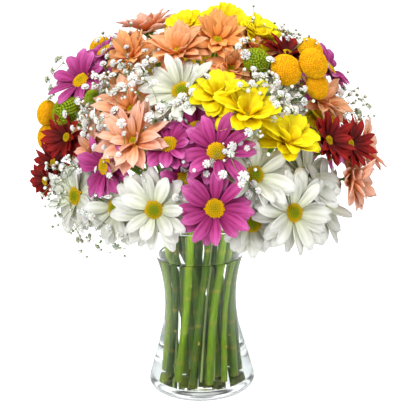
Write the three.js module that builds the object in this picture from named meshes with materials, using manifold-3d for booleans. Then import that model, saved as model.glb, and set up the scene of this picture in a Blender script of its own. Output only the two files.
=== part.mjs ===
// A round bouquet in a flared glass vase, in millimetres, +Z up, the vase's foot centred on the origin.
// Daisy and button chrysanthemums stand on branching green stems that run through the vase's waist into
// the water, with baby's breath between them. Each stem carries one spray of one colour, as it is cut
// from the plant. Flower heads of one colour that grow into each other are one solid. Petals, stalks and
// twigs that would cross a neighbour are bent until they pass it.
import * as THREE from "three";
import { mergeVertices } from "three/addons/utils/BufferGeometryUtils.js";
import Module from "manifold-3d";

const wasm = await Module();
wasm.setup();

// ---- Driving dimensions ----------------------------------------------------------------------------
const VASE_HEIGHT = 180;
const FOOT_RADIUS = 47; // the flat ring that the vase stands on
const BULGE_RADIUS = 54.5; // the widest place, just above the foot
const WAIST_RADIUS = 36.3;
const WAIST_HEIGHT = 94;
const MOUTH_RADIUS = 58.5;
const GLASS = 3; // wall thickness
const FLOOR = 9; // thickness of the glass under the water
const WATER_LEVEL = 142;
const VASE_SIDES = 24;
const GAP = 0.35; // what pieces that touch keep between them
const STEM_RADIUS = 3.5;
const STALK_RADIUS = 1.3; // of the short stalk under each flower head
const CALYX_RADIUS = 4.6; // the green cup at the stalk's end, which holds the head
const CALYX_DEPTH = 6;
const BLADE = 1; // thickness of a petal
const HEART = new THREE.Vector3(8, 0, 225); // the middle of the dome of flowers

// ---- Small helpers ---------------------------------------------------------------------------------
const radians = THREE.MathUtils.degToRad;

// A repeatable draw between -1 and 1 for a pair of whole numbers.
function draw(a, b) {
  const wave = Math.sin(a * 127.1 + b * 311.7) * 43758.5453;
  return 2 * (wave - Math.floor(wave)) - 1;
}

// The unit vector that points to a longitude and a latitude, both in degrees. Longitude 0 is the front.
function towards(longitude, latitude) {
  const lon = radians(longitude);
  const lat = radians(latitude);
  return new THREE.Vector3(Math.sin(lon) * Math.cos(lat), -Math.cos(lon) * Math.cos(lat), Math.sin(lat));
}

function onDome(longitude, latitude, reach) {
  return towards(longitude, latitude).multiplyScalar(reach).add(HEART);
}

// base + direction * amount, as a new vector.
function along(base, direction, amount) {
  return base.clone().addScaledVector(direction, amount);
}

function solidOf(geometry) {
  const bare = geometry.clone();
  bare.deleteAttribute("normal");
  bare.deleteAttribute("uv");
  const merged = mergeVertices(bare, 1e-3);
  const corners = merged.index.array;
  const kept = [];
  for (let i = 0; i < corners.length; i += 3) {
    const [a, b, c] = corners.slice(i, i + 3);
    if (a !== b && b !== c && c !== a) kept.push(a, b, c);
  }
  return new wasm.Manifold(
    new wasm.Mesh({
      numProp: 3,
      vertProperties: new Float32Array(merged.attributes.position.array),
      triVerts: new Uint32Array(kept),
    }),
  );
}

// A closed solid from triangles of points.
function solidFrom(triangles) {
  const geometry = new THREE.BufferGeometry();
  geometry.setFromPoints(triangles.flat());
  return solidOf(geometry);
}

// Four corners, counter-clockwise from outside, as two triangles split along the first and the third.
const quad = (a, b, c, d) => [
  [a, b, c],
  [a, c, d],
];

function fused(solids) {
  return solids.reduce((all, next) => all.add(next));
}

const bouquet = new THREE.Group();
function addMesh(name, solid, colour, roughness = 0.6, opacity = 1) {
  const mesh = solid.getMesh();
  const geometry = new THREE.BufferGeometry();
  geometry.setAttribute("position", new THREE.BufferAttribute(new Float32Array(mesh.vertProperties), 3));
  geometry.setIndex(new THREE.BufferAttribute(new Uint32Array(mesh.triVerts), 1));
  geometry.computeVertexNormals();
  const material = new THREE.MeshStandardMaterial({ color: colour, roughness, metalness: 0 });
  material.transparent = opacity < 1;
  material.opacity = opacity;
  const made = new THREE.Mesh(geometry, material);
  made.name = name;
  bouquet.add(made);
}

// What stands already, so that the next piece can keep clear of it.
const standing = [];
function place(owner, solid, head) {
  const entry = { owner, solid, head, box: solid.boundingBox() };
  standing.push(entry);
  return entry;
}

function boxesMeet(a, b) {
  return [0, 1, 2].every((i) => a.min[i] <= b.max[i] && b.min[i] <= a.max[i]);
}

// Whether a solid crosses nothing that stands, apart from the nodes and the heads named.
function isClear(solid, ...own) {
  const box = solid.boundingBox();
  return standing.every(
    (other) =>
      own.includes(other.owner) ||
      own.includes(other.head) ||
      !boxesMeet(box, other.box) ||
      solid.intersect(other.solid).isEmpty(),
  );
}

// A closed tube through the points, with a radius at each.
function tube(points, radii, sides) {
  let across = new THREE.Vector3(1, 0.3, 0.1);
  const last = points.length - 1;
  const rings = points.map((point, i) => {
    const before = points[Math.max(i - 1, 0)];
    const after = points[Math.min(i + 1, last)];
    const heading = after.clone().sub(before).normalize();
    across = across.addScaledVector(heading, -across.dot(heading)).normalize();
    const other = heading.clone().cross(across);
    return Array.from({ length: sides }, (_, k) => {
      const turn = (2 * Math.PI * k) / sides;
      return along(along(point, across, radii[i] * Math.cos(turn)), other, radii[i] * Math.sin(turn));
    });
  });
  const triangles = [];
  for (let k = 0; k < sides; k++) {
    const next = (k + 1) % sides;
    for (let i = 0; i < last; i++) {
      triangles.push(...quad(rings[i][k], rings[i][next], rings[i + 1][next], rings[i + 1][k]));
    }
    if (k > 0 && k < sides - 1) {
      triangles.push([rings[0][0], rings[0][next], rings[0][k]]);
      triangles.push([rings[last][0], rings[last][k], rings[last][next]]);
    }
  }
  return solidFrom(triangles);
}

// ---- Vase and water --------------------------------------------------------------------------------
// Radius and height of the outside, from above the foot to the lip.
const vaseOutside = new THREE.SplineCurve([
  new THREE.Vector2(BULGE_RADIUS, 9),
  new THREE.Vector2(46.9, 36),
  new THREE.Vector2(38.6, 68),
  new THREE.Vector2(WAIST_RADIUS, WAIST_HEIGHT),
  new THREE.Vector2(38.8, 121),
  new THREE.Vector2(45.4, 145),
  new THREE.Vector2(52, 163),
  new THREE.Vector2(MOUTH_RADIUS, VASE_HEIGHT),
]).getPoints(7);
const FLOOR_RADIUS = BULGE_RADIUS - GLASS - 5; // where the inside rounds into the floor

function vaseInside(inset) {
  return vaseOutside.slice(1).map((p) => new THREE.Vector2(p.x - GLASS - inset, p.y));
}

function turned(profile) {
  return solidOf(new THREE.LatheGeometry(profile, VASE_SIDES).rotateX(Math.PI / 2));
}

// The inner radius of the vase at a height, less an inset.
function innerRadius(height, inset) {
  const above = vaseOutside.findIndex((p) => p.y >= height);
  const high = vaseOutside[above];
  const low = vaseOutside[above - 1];
  return THREE.MathUtils.mapLinear(height, low.y, high.y, low.x, high.x) - GLASS - inset;
}

const vase = turned([
  new THREE.Vector2(0, 0),
  new THREE.Vector2(FOOT_RADIUS, 0),
  new THREE.Vector2(FOOT_RADIUS + 4.5, 2.6),
  ...vaseOutside,
  ...vaseInside(0).reverse(),
  new THREE.Vector2(FLOOR_RADIUS, FLOOR),
  new THREE.Vector2(0, FLOOR),
]);
place("vase", vase);

const waterBody = turned([
  new THREE.Vector2(0, FLOOR + GAP),
  new THREE.Vector2(FLOOR_RADIUS - GAP, FLOOR + GAP),
  ...vaseInside(GAP).filter((p) => p.y < WATER_LEVEL),
  new THREE.Vector2(innerRadius(WATER_LEVEL, GAP), WATER_LEVEL),
  new THREE.Vector2(0, WATER_LEVEL),
]);

// ---- Kinds of flower -------------------------------------------------------------------------------
// A daisy's petals: how many, how far their roots stand from the middle, their width at the widest place
// and at the tip, how steeply they rise, and how far they bend on past the middle of their length.
const KINDS = {
  white: { colour: 0xf4f3ea, petals: 10, disc: 8.8, width: 14.5, tip: 7, lift: 12, bend: -12, domed: true },
  magenta: { colour: 0xb0409c, petals: 10, disc: 8.4, width: 13.5, tip: 0, lift: 16, bend: -10, domed: true },
  peach: { colour: 0xef9a72, petals: 8, disc: 7, width: 14, tip: 0, lift: 26, bend: -6 },
  yellow: { colour: 0xf9d516, petals: 8, disc: 7, width: 15, tip: 8, lift: 36, bend: -14 },
  red: { colour: 0x7d0f14, petals: 8, disc: 5.6, width: 10, tip: 0, lift: 16, bend: 6 },
  button: { colour: 0xf7ab0a },
  green: { colour: 0x8aa81c },
};

// Every stem: where it passes the waist of the vase (ring and longitude), and its flower heads. A head is
// [its node, longitude, latitude and reach from the heart, the longitude and latitude that it faces, radius].
const SPRAYS = {
  stem_white_left: {
    kind: "white",
    ring: "outer",
    longitude: -30,
    heads: [
      ["white_daisies_left", -18, 3, 152, -9, 17, 38],
      ["white_daisies_left", -37, 0, 138, -42, 8, 35],
      ["white_daisies_left", -58, 1, 144, -48, 10, 36],
    ],
  },
  stem_white_middle: {
    kind: "white",
    ring: "middle",
    longitude: 0,
    heads: [
      ["white_daisy_top", -13, 49, 137, -12, 44, 38],
      ["white_daisies_right", 19, 14, 138, 26, 26, 37],
      ["white_daisies_right", 45, 9, 131, 48, 30, 37],
    ],
  },
  stem_white_right: {
    kind: "white",
    ring: "outer",
    longitude: 30,
    heads: [
      ["white_daisies_right", 31.5, -1, 150, 28, 14, 39],
      ["white_daisies_right", 51, -3, 138, 62, 10, 39],
      ["white_daisies_right", 17, -4.5, 138, 14, 10, 29],
    ],
  },
  stem_white_back: {
    kind: "white",
    ring: "outer",
    longitude: 180,
    heads: [
      ["white_daisies_back", 164, -4, 146, 164, 6, 41],
      ["white_daisies_back", 190, 8, 148, 190, 16, 41],
      ["white_daisies_back", 148, 16, 144, 148, 26, 40],
    ],
  },
  stem_magenta_left: {
    kind: "magenta",
    ring: "outer",
    longitude: -60,
    heads: [
      ["magenta_daisies_upper_left", -84, 40, 154, -46, 50, 33],
      ["magenta_daisies_upper_left", -90, 53, 156, -70, 56, 24],
      ["magenta_daisy_left", -41, 16, 144, -52, 16, 32],
    ],
  },
  stem_magenta_centre: {
    kind: "magenta",
    ring: "outer",
    longitude: 0,
    heads: [
      ["magenta_daisies_centre", 2.5, 4.3, 156, 3, 18, 34],
      ["magenta_daisies_centre", 4, 23, 150, 4, 34, 35],
      ["magenta_daisies_centre", -14.5, 25.5, 146, -8, 54, 29],
      ["magenta_daisies_centre", -8, 13, 138, -8, 24, 26],
      ["magenta_daisies_centre", -4, 33, 134, 0, 50, 27],
    ],
  },
  stem_magenta_right: {
    kind: "magenta",
    ring: "outer",
    longitude: 120,
    heads: [
      ["magenta_daisies_back", 127, 27, 148, 127, 34, 38],
      ["magenta_daisies_back", 144, 40, 145, 144, 48, 34],
      ["magenta_daisies_back", 124, 5, 148, 122, 12, 38],
      ["magenta_daisy_upper_right", 94, 39, 159, 84, 34, 27],
    ],
  },
  stem_peach_left: {
    kind: "peach",
    ring: "inner",
    longitude: -43,
    heads: [
      ["peach_daisies_left", -29.5, 26, 146, -32, 38, 37],
      ["peach_daisies_left", -42, 40, 131, -40, 48, 37],
      ["peach_daisies_left", -60, 19, 128, -62, 24, 30],
    ],
  },
  stem_peach_top: {
    kind: "peach",
    ring: "inner",
    longitude: 189,
    heads: [
      ["peach_daisies_top_right", 26, 77.5, 142, 16, 50, 29],
      ["peach_daisies_top_right", 72, 69, 138, 50, 54, 25],
      ["peach_daisies_top_right", 24, 62, 132, 10, 46, 25],
      ["peach_daisy_top", -28, 69, 141, -14, 56, 29],
      ["peach_daisies_top_left", -70, 60, 143, -46, 50, 28],
      ["peach_daisies_top_left", -104, 69, 152, -110, 74, 30],
    ],
  },
  stem_peach_right: {
    kind: "peach",
    ring: "outer",
    longitude: 90,
    heads: [
      ["peach_daisies_right", 84, 11, 156, 82, 16, 30],
      ["peach_daisies_right", 66, 3.5, 151, 65, 10, 31],
      ["peach_daisy_upper_right", 72, 34, 140, 66, 46, 32],
    ],
  },
  stem_peach_back: {
    kind: "peach",
    ring: "outer",
    longitude: 210,
    heads: [
      ["peach_daisies_back", 222, 26, 148, 222, 34, 39],
      ["peach_daisies_back", 235, 9, 147, 236, 14, 38],
      ["peach_daisies_back", 208, 43, 145, 206, 50, 36],
    ],
  },
  stem_yellow_front: {
    kind: "yellow",
    ring: "inner",
    longitude: 43,
    heads: [
      ["yellow_daisies_front", 18.5, 36, 146, 36, 62, 34],
      ["yellow_daisies_front", 7.5, 45, 142, -4, 66, 27],
      ["yellow_daisies_front", 34.7, 24, 144, 30, 60, 30],
      ["yellow_daisy_right", 76, 27, 128, 60, 50, 20],
    ],
  },
  stem_yellow_top: {
    kind: "yellow",
    ring: "inner",
    longitude: 138,
    heads: [
      ["yellow_daisies_top", 112, 81, 146, 30, 52, 26],
      ["yellow_daisies_top", 84, 69, 148, 56, 56, 22],
      ["yellow_daisy_top_left", -56, 83, 149, -30, 60, 20],
    ],
  },
  stem_yellow_back: {
    kind: "yellow",
    ring: "outer",
    longitude: 150,
    heads: [
      ["yellow_daisies_back", 166, 50, 146, 164, 56, 34],
      ["yellow_daisies_back", 179, 33, 147, 180, 40, 33],
      ["yellow_daisies_back", 200, 22, 145, 202, 30, 32],
      ["yellow_daisies_back", 186, 60, 143, 184, 64, 30],
    ],
  },
  stem_red_right: {
    kind: "red",
    ring: "outer",
    longitude: 60,
    heads: [
      ["red_daisies_right", 54, 20.5, 151, 48, 24, 26],
      ["red_daisies_right", 67, 16, 155, 54, 20, 26],
      ["red_daisy_top_right", 71, 56, 151, 40, 70, 25],
    ],
  },
  stem_red_left: {
    kind: "red",
    ring: "outer",
    longitude: -90,
    heads: [
      ["red_daisies_left", -79, 8.5, 151, -48, 10, 25],
      ["red_daisies_left", -74, 20, 146, -44, 22, 25],
      ["red_daisies_left", -82, 1, 158, -52, 2, 18],
    ],
  },
  stem_red_back: {
    kind: "red",
    ring: "outer",
    longitude: 240,
    heads: [
      ["red_daisy_low_back", 213, 0, 150, 212, 8, 33],
      ["red_daisy_high_back", 240, 46, 149, 240, 50, 32],
    ],
  },
  stem_buttons_right: {
    kind: "button",
    ring: "inner",
    longitude: 86,
    heads: [
      ["yellow_buttons_right", 47.5, 49, 151, 40, 36, 15.5],
      ["yellow_buttons_right", 57.5, 45.7, 166, 52, 34, 15],
      ["yellow_buttons_right", 63, 49.7, 168, 66, 48, 13],
      ["yellow_buttons_right", 59.5, 39.5, 153, 58, 26, 12.5],
    ],
  },
  stem_buttons_left: {
    kind: "button",
    ring: "inner",
    longitude: -119,
    heads: [
      ["yellow_buttons_left", -95, 22, 163, -80, 16, 13],
      ["yellow_buttons_left", -94, 14, 156, -80, 8, 13],
      ["yellow_button_upper_left", -112, 48, 161, -108, 48, 11],
    ],
  },
  stem_green: {
    kind: "green",
    ring: "inner",
    longitude: -15,
    heads: [
      ["green_button_left", -79, 28, 148, -60, 36, 15.5],
      ["green_button_small", -64, 38, 146, -60, 30, 8],
      ["green_button_right", 39, 58, 143, 26, 46, 13],
    ],
  },
};

// ---- Flower heads ----------------------------------------------------------------------------------
const DISC_EDGE = 1.6; // how thick a daisy is where its petals start
const PETAL_ELBOW = 0.6; // how far along a petal it is widest, and bends

// Turns a row of SPRAYS into a head with axes of its own: out of its face, and two across it.
function makeHead(kind, row, serial) {
  const [node, longitude, latitude, reach, faceLongitude, faceLatitude, radius] = row;
  const out = towards(faceLongitude, faceLatitude);
  const right = new THREE.Vector3(0, 0, 1).cross(out).normalize();
  right.applyAxisAngle(out, radians(180 * draw(serial, 1)));
  const up = out.clone().cross(right);
  const centre = onDome(longitude, latitude, reach);
  return { node, centre, out, right, up, radius, serial, shape: KINDS[kind] };
}

// A point of a head: its distance from the axis in the direction of an angle, how far it stands to the
// side of that direction, and how high above the head's middle.
function headPoint(head, angle, distance, aside, height) {
  const outward = head.right.clone().multiplyScalar(Math.cos(angle));
  outward.addScaledVector(head.up, Math.sin(angle));
  const sideways = head.out.clone().cross(outward);
  return along(along(along(head.centre, outward, distance), sideways, aside), head.out, height);
}

// The rows of corners of a blade that grows from one side of a head: two corners on top, two below, at
// each station. A station is [distance from the axis, height], half its width, its tilt and its thickness.
// swell thickens it all round. A blade stays within its own sector, so that it can't cross the next one.
function bladeRows(head, index, stations, swell) {
  const angle = (2 * Math.PI * index) / head.shape.petals;
  const sector = Math.tan(Math.PI / head.shape.petals);
  return stations.map(({ at, half, tilt, thick }, row) => {
    const room = Math.max(at[0] - thick, 1) * sector * 0.94;
    const aside = row === 0 ? half : Math.min(half, room);
    const offset = thick / 2 + swell;
    return [
      [-1, 1],
      [1, 1],
      [-1, -1],
      [1, -1],
    ].map(([side, face]) =>
      headPoint(
        head,
        angle,
        at[0] - face * offset * Math.sin(tilt),
        side * (aside + swell),
        at[1] + face * offset * Math.cos(tilt),
      ),
    );
  });
}

function rootStation({ disc, petals }) {
  return { at: [disc, 0], half: disc * Math.tan(Math.PI / petals), tilt: 0, thick: DISC_EDGE };
}

// The station that lies a length on from another, in the direction of an angle above the head's plane.
function onward(from, length, angle) {
  return [from[0] + length * Math.cos(angle), from[1] + length * Math.sin(angle)];
}

// A petal from its root to its tip. swing adds to its rise, and share is what is left of its length.
function petalRows(head, index, { swing, share }, swell) {
  const { disc, width, tip, lift, bend } = head.shape;
  const length = (head.radius - disc) * share * (1 + 0.06 * draw(head.serial, index + 20)) + swell;
  const rise = radians(lift + swing + 7 * draw(head.serial, index + 50));
  const tipRise = rise + radians(bend);
  const elbow = onward([disc, 0], length * PETAL_ELBOW, rise);
  const end = onward(elbow, length * (1 - PETAL_ELBOW), tipRise);
  const size = Math.sqrt(share) / 2;
  return bladeRows(
    head,
    index,
    [
      rootStation(head.shape),
      { at: elbow, half: width * size, tilt: (rise + tipRise) / 2, thick: BLADE },
      { at: end, half: tip * size, tilt: tipRise, thick: BLADE },
    ],
    swell,
  );
}

// The skin of a blade without its root face.
function bladeSkin(rows) {
  const skin = [];
  for (let i = 0; i < rows.length - 1; i++) {
    const [left, right, leftBelow, rightBelow] = rows[i];
    const [nextLeft, nextRight, nextLeftBelow, nextRightBelow] = rows[i + 1];
    skin.push(...quad(left, nextLeft, nextRight, right));
    skin.push(...quad(leftBelow, rightBelow, nextRightBelow, nextLeftBelow));
    skin.push(...quad(left, leftBelow, nextLeftBelow, nextLeft));
    skin.push(...quad(nextRight, nextRightBelow, rightBelow, right));
  }
  const [left, right, leftBelow, rightBelow] = rows.at(-1);
  return [...skin, ...quad(left, leftBelow, rightBelow, right)];
}

function bladeSolid(rows) {
  const [left, right, leftBelow, rightBelow] = rows[0];
  return solidFrom([...bladeSkin(rows), ...quad(left, right, rightBelow, leftBelow)]);
}

// A whole daisy: the domed disc with a petal, or a bare edge where there is none, on each of its sides.
function daisySolid(head, petals) {
  const count = head.shape.petals;
  const turn = (2 * Math.PI) / count;
  const corner = head.shape.disc / Math.cos(turn / 2);
  const ring = (distance, height) =>
    Array.from({ length: count }, (_, k) => headPoint(head, (k - 0.5) * turn, distance, 0, height));
  const top = ring(corner, DISC_EDGE / 2);
  const bottom = ring(corner, -DISC_EDGE / 2);
  const shoulder = ring(corner * 0.74, DISC_EDGE / 2 + 2.2);
  const crown = headPoint(head, 0, 0, 0, DISC_EDGE / 2 + 3);
  const triangles = [];
  for (let k = 0; k < count; k++) {
    const next = (k + 1) % count;
    if (head.shape.domed) {
      triangles.push(...quad(top[k], top[next], shoulder[next], shoulder[k]));
      triangles.push([shoulder[k], shoulder[next], crown]);
    } else {
      triangles.push([top[k], top[next], crown]);
    }
    if (k > 0 && k < count - 1) triangles.push([bottom[0], bottom[next], bottom[k]]);
    if (petals[k]) triangles.push(...bladeSkin(petals[k]));
    else triangles.push(...quad(top[k], bottom[k], bottom[next], top[next]));
  }
  return solidFrom(triangles);
}

// A button: a ball of tight florets, in rings that are turned half a step against each other.
const BUTTON_SIDES = 10;
const BUTTON_RINGS = [-0.62, -0.18, 0.32, 0.74]; // their heights on a ball of radius 1
const BUTTON_HEIGHT = 0.72; // a button is this much flatter than a ball
const BUTTON_LIFT = 0.42; // and its middle stands this far out, both as shares of its radius
const BUTTON_UNDERSIDE = (BUTTON_LIFT + BUTTON_HEIGHT * BUTTON_RINGS[0]) * 1.07;
function buttonSolid(head) {
  const rings = BUTTON_RINGS.map((height, i) =>
    Array.from({ length: BUTTON_SIDES }, (_, k) => {
      const angle = (2 * Math.PI * (k + (i % 2) / 2)) / BUTTON_SIDES;
      const relief = head.radius * (k % 2 ? 1.07 : 0.93);
      const distance = relief * Math.sqrt(1 - height * height);
      return headPoint(head, angle, distance, 0, relief * (BUTTON_LIFT + BUTTON_HEIGHT * height));
    }),
  );
  const crown = headPoint(head, 0, 0, 0, head.radius * (BUTTON_LIFT + BUTTON_HEIGHT));
  const triangles = [];
  for (let k = 0; k < BUTTON_SIDES; k++) {
    const next = (k + 1) % BUTTON_SIDES;
    if (k > 0 && k < BUTTON_SIDES - 1) triangles.push([rings[0][0], rings[0][next], rings[0][k]]);
    for (let i = 0; i < rings.length - 1; i++) {
      const [low, high] = [rings[i], rings[i + 1]];
      if (i % 2) {
        triangles.push([low[k], high[next], high[k]], [low[k], low[next], high[next]]);
      } else {
        triangles.push([low[k], low[next], high[k]], [low[next], high[next], high[k]]);
      }
    }
    triangles.push([rings.at(-1)[k], rings.at(-1)[next], crown]);
  }
  return solidFrom(triangles);
}

const isButton = (head) => !head.shape.petals;
const heads = Object.values(SPRAYS).flatMap((spray, i) => {
  spray.made = spray.heads.map((row, j) => makeHead(spray.kind, row, 10 * i + j));
  return spray.made;
});
for (const head of heads) {
  head.solid = isButton(head) ? buttonSolid(head) : daisySolid(head, []);
  place(head.node, head.solid, head);
}

// ---- Stems and stalks ------------------------------------------------------------------------------
// Each ring of stems: its radius on the floor of the vase, at the waist and at the mouth, and the degrees
// that its stems lean round the vase from the floor to the waist, and on from there to the mouth.
const RINGS = {
  outer: { radii: [30, 26.3, 37], twist: 18 },
  breath: { radii: [22.5, 20, 28], twist: 18 },
  inner: { radii: [15, 13.5, 19], twist: -18 },
  middle: { radii: [3, 0.5, 2], twist: 0 },
};
const STEM_HEIGHTS = [FLOOR + 2, WAIST_HEIGHT, VASE_HEIGHT + 3];
const STEM_TAPER = [1, 1, 0.95, 0.8, 0.6];
const STEM_SIDES = 5;

// A stem stands straight in the vase, leans over its waist, and turns above its mouth towards its flowers.
function stemPath(ring, longitude, end) {
  const { radii, twist } = RINGS[ring];
  const [floor, waist, mouth] = STEM_HEIGHTS.map((height, i) => {
    const point = towards(longitude + (i - 1) * twist, 0).multiplyScalar(radii[i]);
    return point.setZ(height);
  });
  const turn = along(mouth, mouth.clone().sub(waist).normalize(), mouth.distanceTo(end) * 0.45);
  const points = [floor, waist, ...new THREE.QuadraticBezierCurve3(mouth, turn, end).getPoints(2)];
  const path = new THREE.CurvePath();
  points.slice(1).forEach((point, i) => path.add(new THREE.LineCurve3(points[i], point)));
  return { points, path };
}

const stems = {};
for (const [name, spray] of Object.entries(SPRAYS)) {
  const middle = new THREE.Vector3();
  for (const head of spray.made) middle.addScaledVector(head.centre, 1 / spray.made.length);
  const mouth = towards(spray.longitude, 0).multiplyScalar(RINGS[spray.ring].radii[2]);
  const end = mouth.setZ(VASE_HEIGHT).lerp(middle, 0.42);
  const { points, path } = stemPath(spray.ring, spray.longitude, end);
  const radii = STEM_TAPER.map((share) => share * STEM_RADIUS);
  const solid = tube(points, radii, STEM_SIDES);
  if (!isClear(solid, name)) throw new Error(name + " crosses another stem");
  place(name, solid);
  stems[name] = { points, path, radii, solids: [solid] };
}

// The stalk from a stem to the calyx under a head, pushed aside by a bow.
const STALK_STEP = 11; // between one stalk and the next, down the stem
function stalkPoints(stem, rank, head, bow) {
  const at = 1 - (2 + STALK_STEP * rank) / stem.path.getLength();
  const start = stem.path.getPointAt(at);
  const seat = isButton(head) ? head.radius * BUTTON_UNDERSIDE : -DISC_EDGE / 2;
  const foot = along(head.centre, head.out, seat - GAP - 0.1);
  const neck = along(foot, head.out, -CALYX_DEPTH);
  const reach = start.distanceTo(neck);
  const curve = new THREE.CubicBezierCurve3(
    start,
    along(start, stem.path.getTangentAt(at), reach * 0.3).add(bow),
    along(neck, head.out, -reach * 0.3).add(bow),
    neck,
  );
  return [...curve.getPoints(2), foot];
}

function stalkSolid(points, swell) {
  const thin = STALK_RADIUS + swell;
  return tube(points, [thin, thin, thin, CALYX_RADIUS + swell], 3);
}

// Ways to push a stalk aside, the smallest first.
const bows = [new THREE.Vector3()];
for (const size of [6, 12, 18, 25, 33]) {
  for (let turn = 0; turn < 360; turn += 45) {
    for (const latitude of [0, 55, -55]) {
      bows.push(towards(turn + size, latitude).multiplyScalar(size));
    }
  }
}
for (const [name, spray] of Object.entries(SPRAYS)) {
  spray.made.forEach((head, rank) => {
    const ways = bows.map((bow) => stalkPoints(stems[name], rank, head, bow));
    // The calyx may come as close as the gap to its own head, and to nothing else.
    const way = ways.find(
      (points) => isClear(stalkSolid(points, GAP), name, head.node) && isClear(stalkSolid(points, 0), name),
    );
    if (!way) throw new Error(name + " has no clear stalk for head " + rank);
    const solid = stalkSolid(way, 0);
    place(name, solid);
    stems[name].solids.push(solid);
  });
}

// ---- Petals ----------------------------------------------------------------------------------------
// How a petal may give way: more or less rise in degrees, and the share of its length that is left.
const GIVES = [1, 0.86, 0.72, 0.58].flatMap((share) =>
  [0, 8, -8, 16, -16, 26, 38, -26, 50].map((swing) => ({ swing, share })),
);
// How a petal may reach for a head of its own node, and how many cubic millimetres they then share.
const REACHES = [1, 1.12, 1.25, 0.86, 1.4].flatMap((share) =>
  [0, 10, -10, 20, -20, 32, -32, 45].map((swing) => ({ swing, share })),
);
const TOUCH = 2;

function setPetal(head, index, way) {
  if (head.blades[index]) standing.splice(standing.indexOf(head.blades[index]), 1);
  head.petals[index] = petalRows(head, index, way, 0);
  head.blades[index] = place(head.node, bladeSolid(head.petals[index]), head);
}

const daisies = heads.filter((head) => !isButton(head));
const reachOf = (head) => head.centre.distanceTo(HEART);
for (const head of [...daisies].sort((a, b) => reachOf(b) - reachOf(a))) {
  head.petals = [];
  head.blades = [];
  for (let k = 0; k < head.shape.petals; k++) {
    const way = GIVES.find((give) => isClear(bladeSolid(petalRows(head, k, give, GAP)), head));
    if (way) setPetal(head, k, way);
  }
  head.solid = daisySolid(head, head.petals);
}

// Every head of a node touches one that comes before it, with a petal of either that reaches for the other.
for (const head of daisies) {
  const mates = daisies.slice(0, daisies.indexOf(head)).filter((mate) => mate.node === head.node);
  const touch = (solid, other) => solid.intersect(other.solid).volume() > TOUCH;
  if (!mates.length || mates.some((mate) => touch(head.solid, mate))) continue;
  const tries = mates.flatMap((mate) =>
    REACHES.flatMap((way) =>
      [[head, mate], [mate, head]].flatMap(([from, to]) =>
        from.petals.map((_, index) => ({ from, to, index, way })),
      ),
    ),
  );
  const found = tries.find(
    ({ from, to, index, way }) =>
      touch(bladeSolid(petalRows(from, index, way, 0)), to) &&
      isClear(bladeSolid(petalRows(from, index, way, GAP)), head.node),
  );
  if (!found) throw new Error(head.node + " has a head that touches no other");
  setPetal(found.from, found.index, found.way);
  found.from.solid = daisySolid(found.from, found.from.petals);
}

// ---- Baby's breath ---------------------------------------------------------------------------------
// Each spray: where its stem passes the waist, and the longitude and latitude of its two umbels.
const BREATH = {
  babys_breath_left: { waist: -75, umbels: [[-84, 40], [-74, 2]] },
  babys_breath_upper_left: { waist: -45, umbels: [[-42, 50], [-56, 30]] },
  babys_breath_upper_right: { waist: 45, umbels: [[40, 46], [50, 64]] },
  babys_breath_right: { waist: 75, umbels: [[86, 30], [84, 52]] },
  babys_breath_front: { waist: 15, umbels: [[2, 14], [-12, 36]] },
  babys_breath_back: { waist: 195, umbels: [[190, 20], [140, 44]] },
};
const BREATH_STEM_RADIUS = 1.1;
const UMBEL = { petals: 7, disc: 1.6 };
const UMBEL_REACH = 108; // how far from the heart the twigs of an umbel part
const SIDE_BRANCH = 45; // how far below the first umbel the stem of the second branches off
const TWIG_RADIUS = 0.6;
const BLOSSOM_RADIUS = 4.2;
const TWIG_WAYS = [56, 48, 64, 40, 72].flatMap((length) =>
  [56, 66, 46, 74, 36, 26].map((rise) => ({ length, rise: radians(rise) })),
);
const TRIES = 200;

// A twig with its blossom.
function twigRows(umbel, index, { length, rise }, swell) {
  const from = [umbel.shape.disc, 0];
  const part = (distance, half) => ({ at: onward(from, distance, rise), half, tilt: rise, thick: 2 * half });
  return bladeRows(
    umbel,
    index,
    [
      rootStation(umbel.shape),
      part(length - 2 * BLOSSOM_RADIUS, TWIG_RADIUS),
      part(length - 0.6 * BLOSSOM_RADIUS, BLOSSOM_RADIUS),
      part(length, 0),
    ],
    swell,
  );
}

// The way to an umbel: a stem from the vase to the first, and a side branch of that stem to the second.
function umbelWay(name, spray, rank, centre) {
  if (rank === 0) return stemPath("breath", spray.waist, centre);
  const { path } = stems[name];
  const start = path.getPointAt(1 - SIDE_BRANCH / path.getLength());
  const elbow = start.clone().lerp(centre, 0.5);
  return { points: [start, along(elbow, elbow.clone().sub(HEART).normalize(), -5), centre] };
}

// The first of a row of drawn places for an umbel that it can be reached at.
function findUmbel(name, spray, rank, serial) {
  const [longitude, latitude] = spray.umbels[rank];
  for (let i = 0; i < TRIES; i++) {
    const wander = i / 10;
    const centre = onDome(
      longitude + (wander * draw(serial, i)) / Math.cos(radians(latitude)),
      latitude + wander * draw(serial, i + TRIES),
      UMBEL_REACH + 6 * draw(serial, i + 2 * TRIES),
    );
    const way = umbelWay(name, spray, rank, centre);
    const solidWith = (swell) => tube(way.points, way.points.map(() => BREATH_STEM_RADIUS + swell), 3);
    if (isClear(solidWith(GAP), name)) return { ...way, centre, solid: solidWith(0) };
  }
  throw new Error(name + " has no clear place for an umbel");
}

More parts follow.
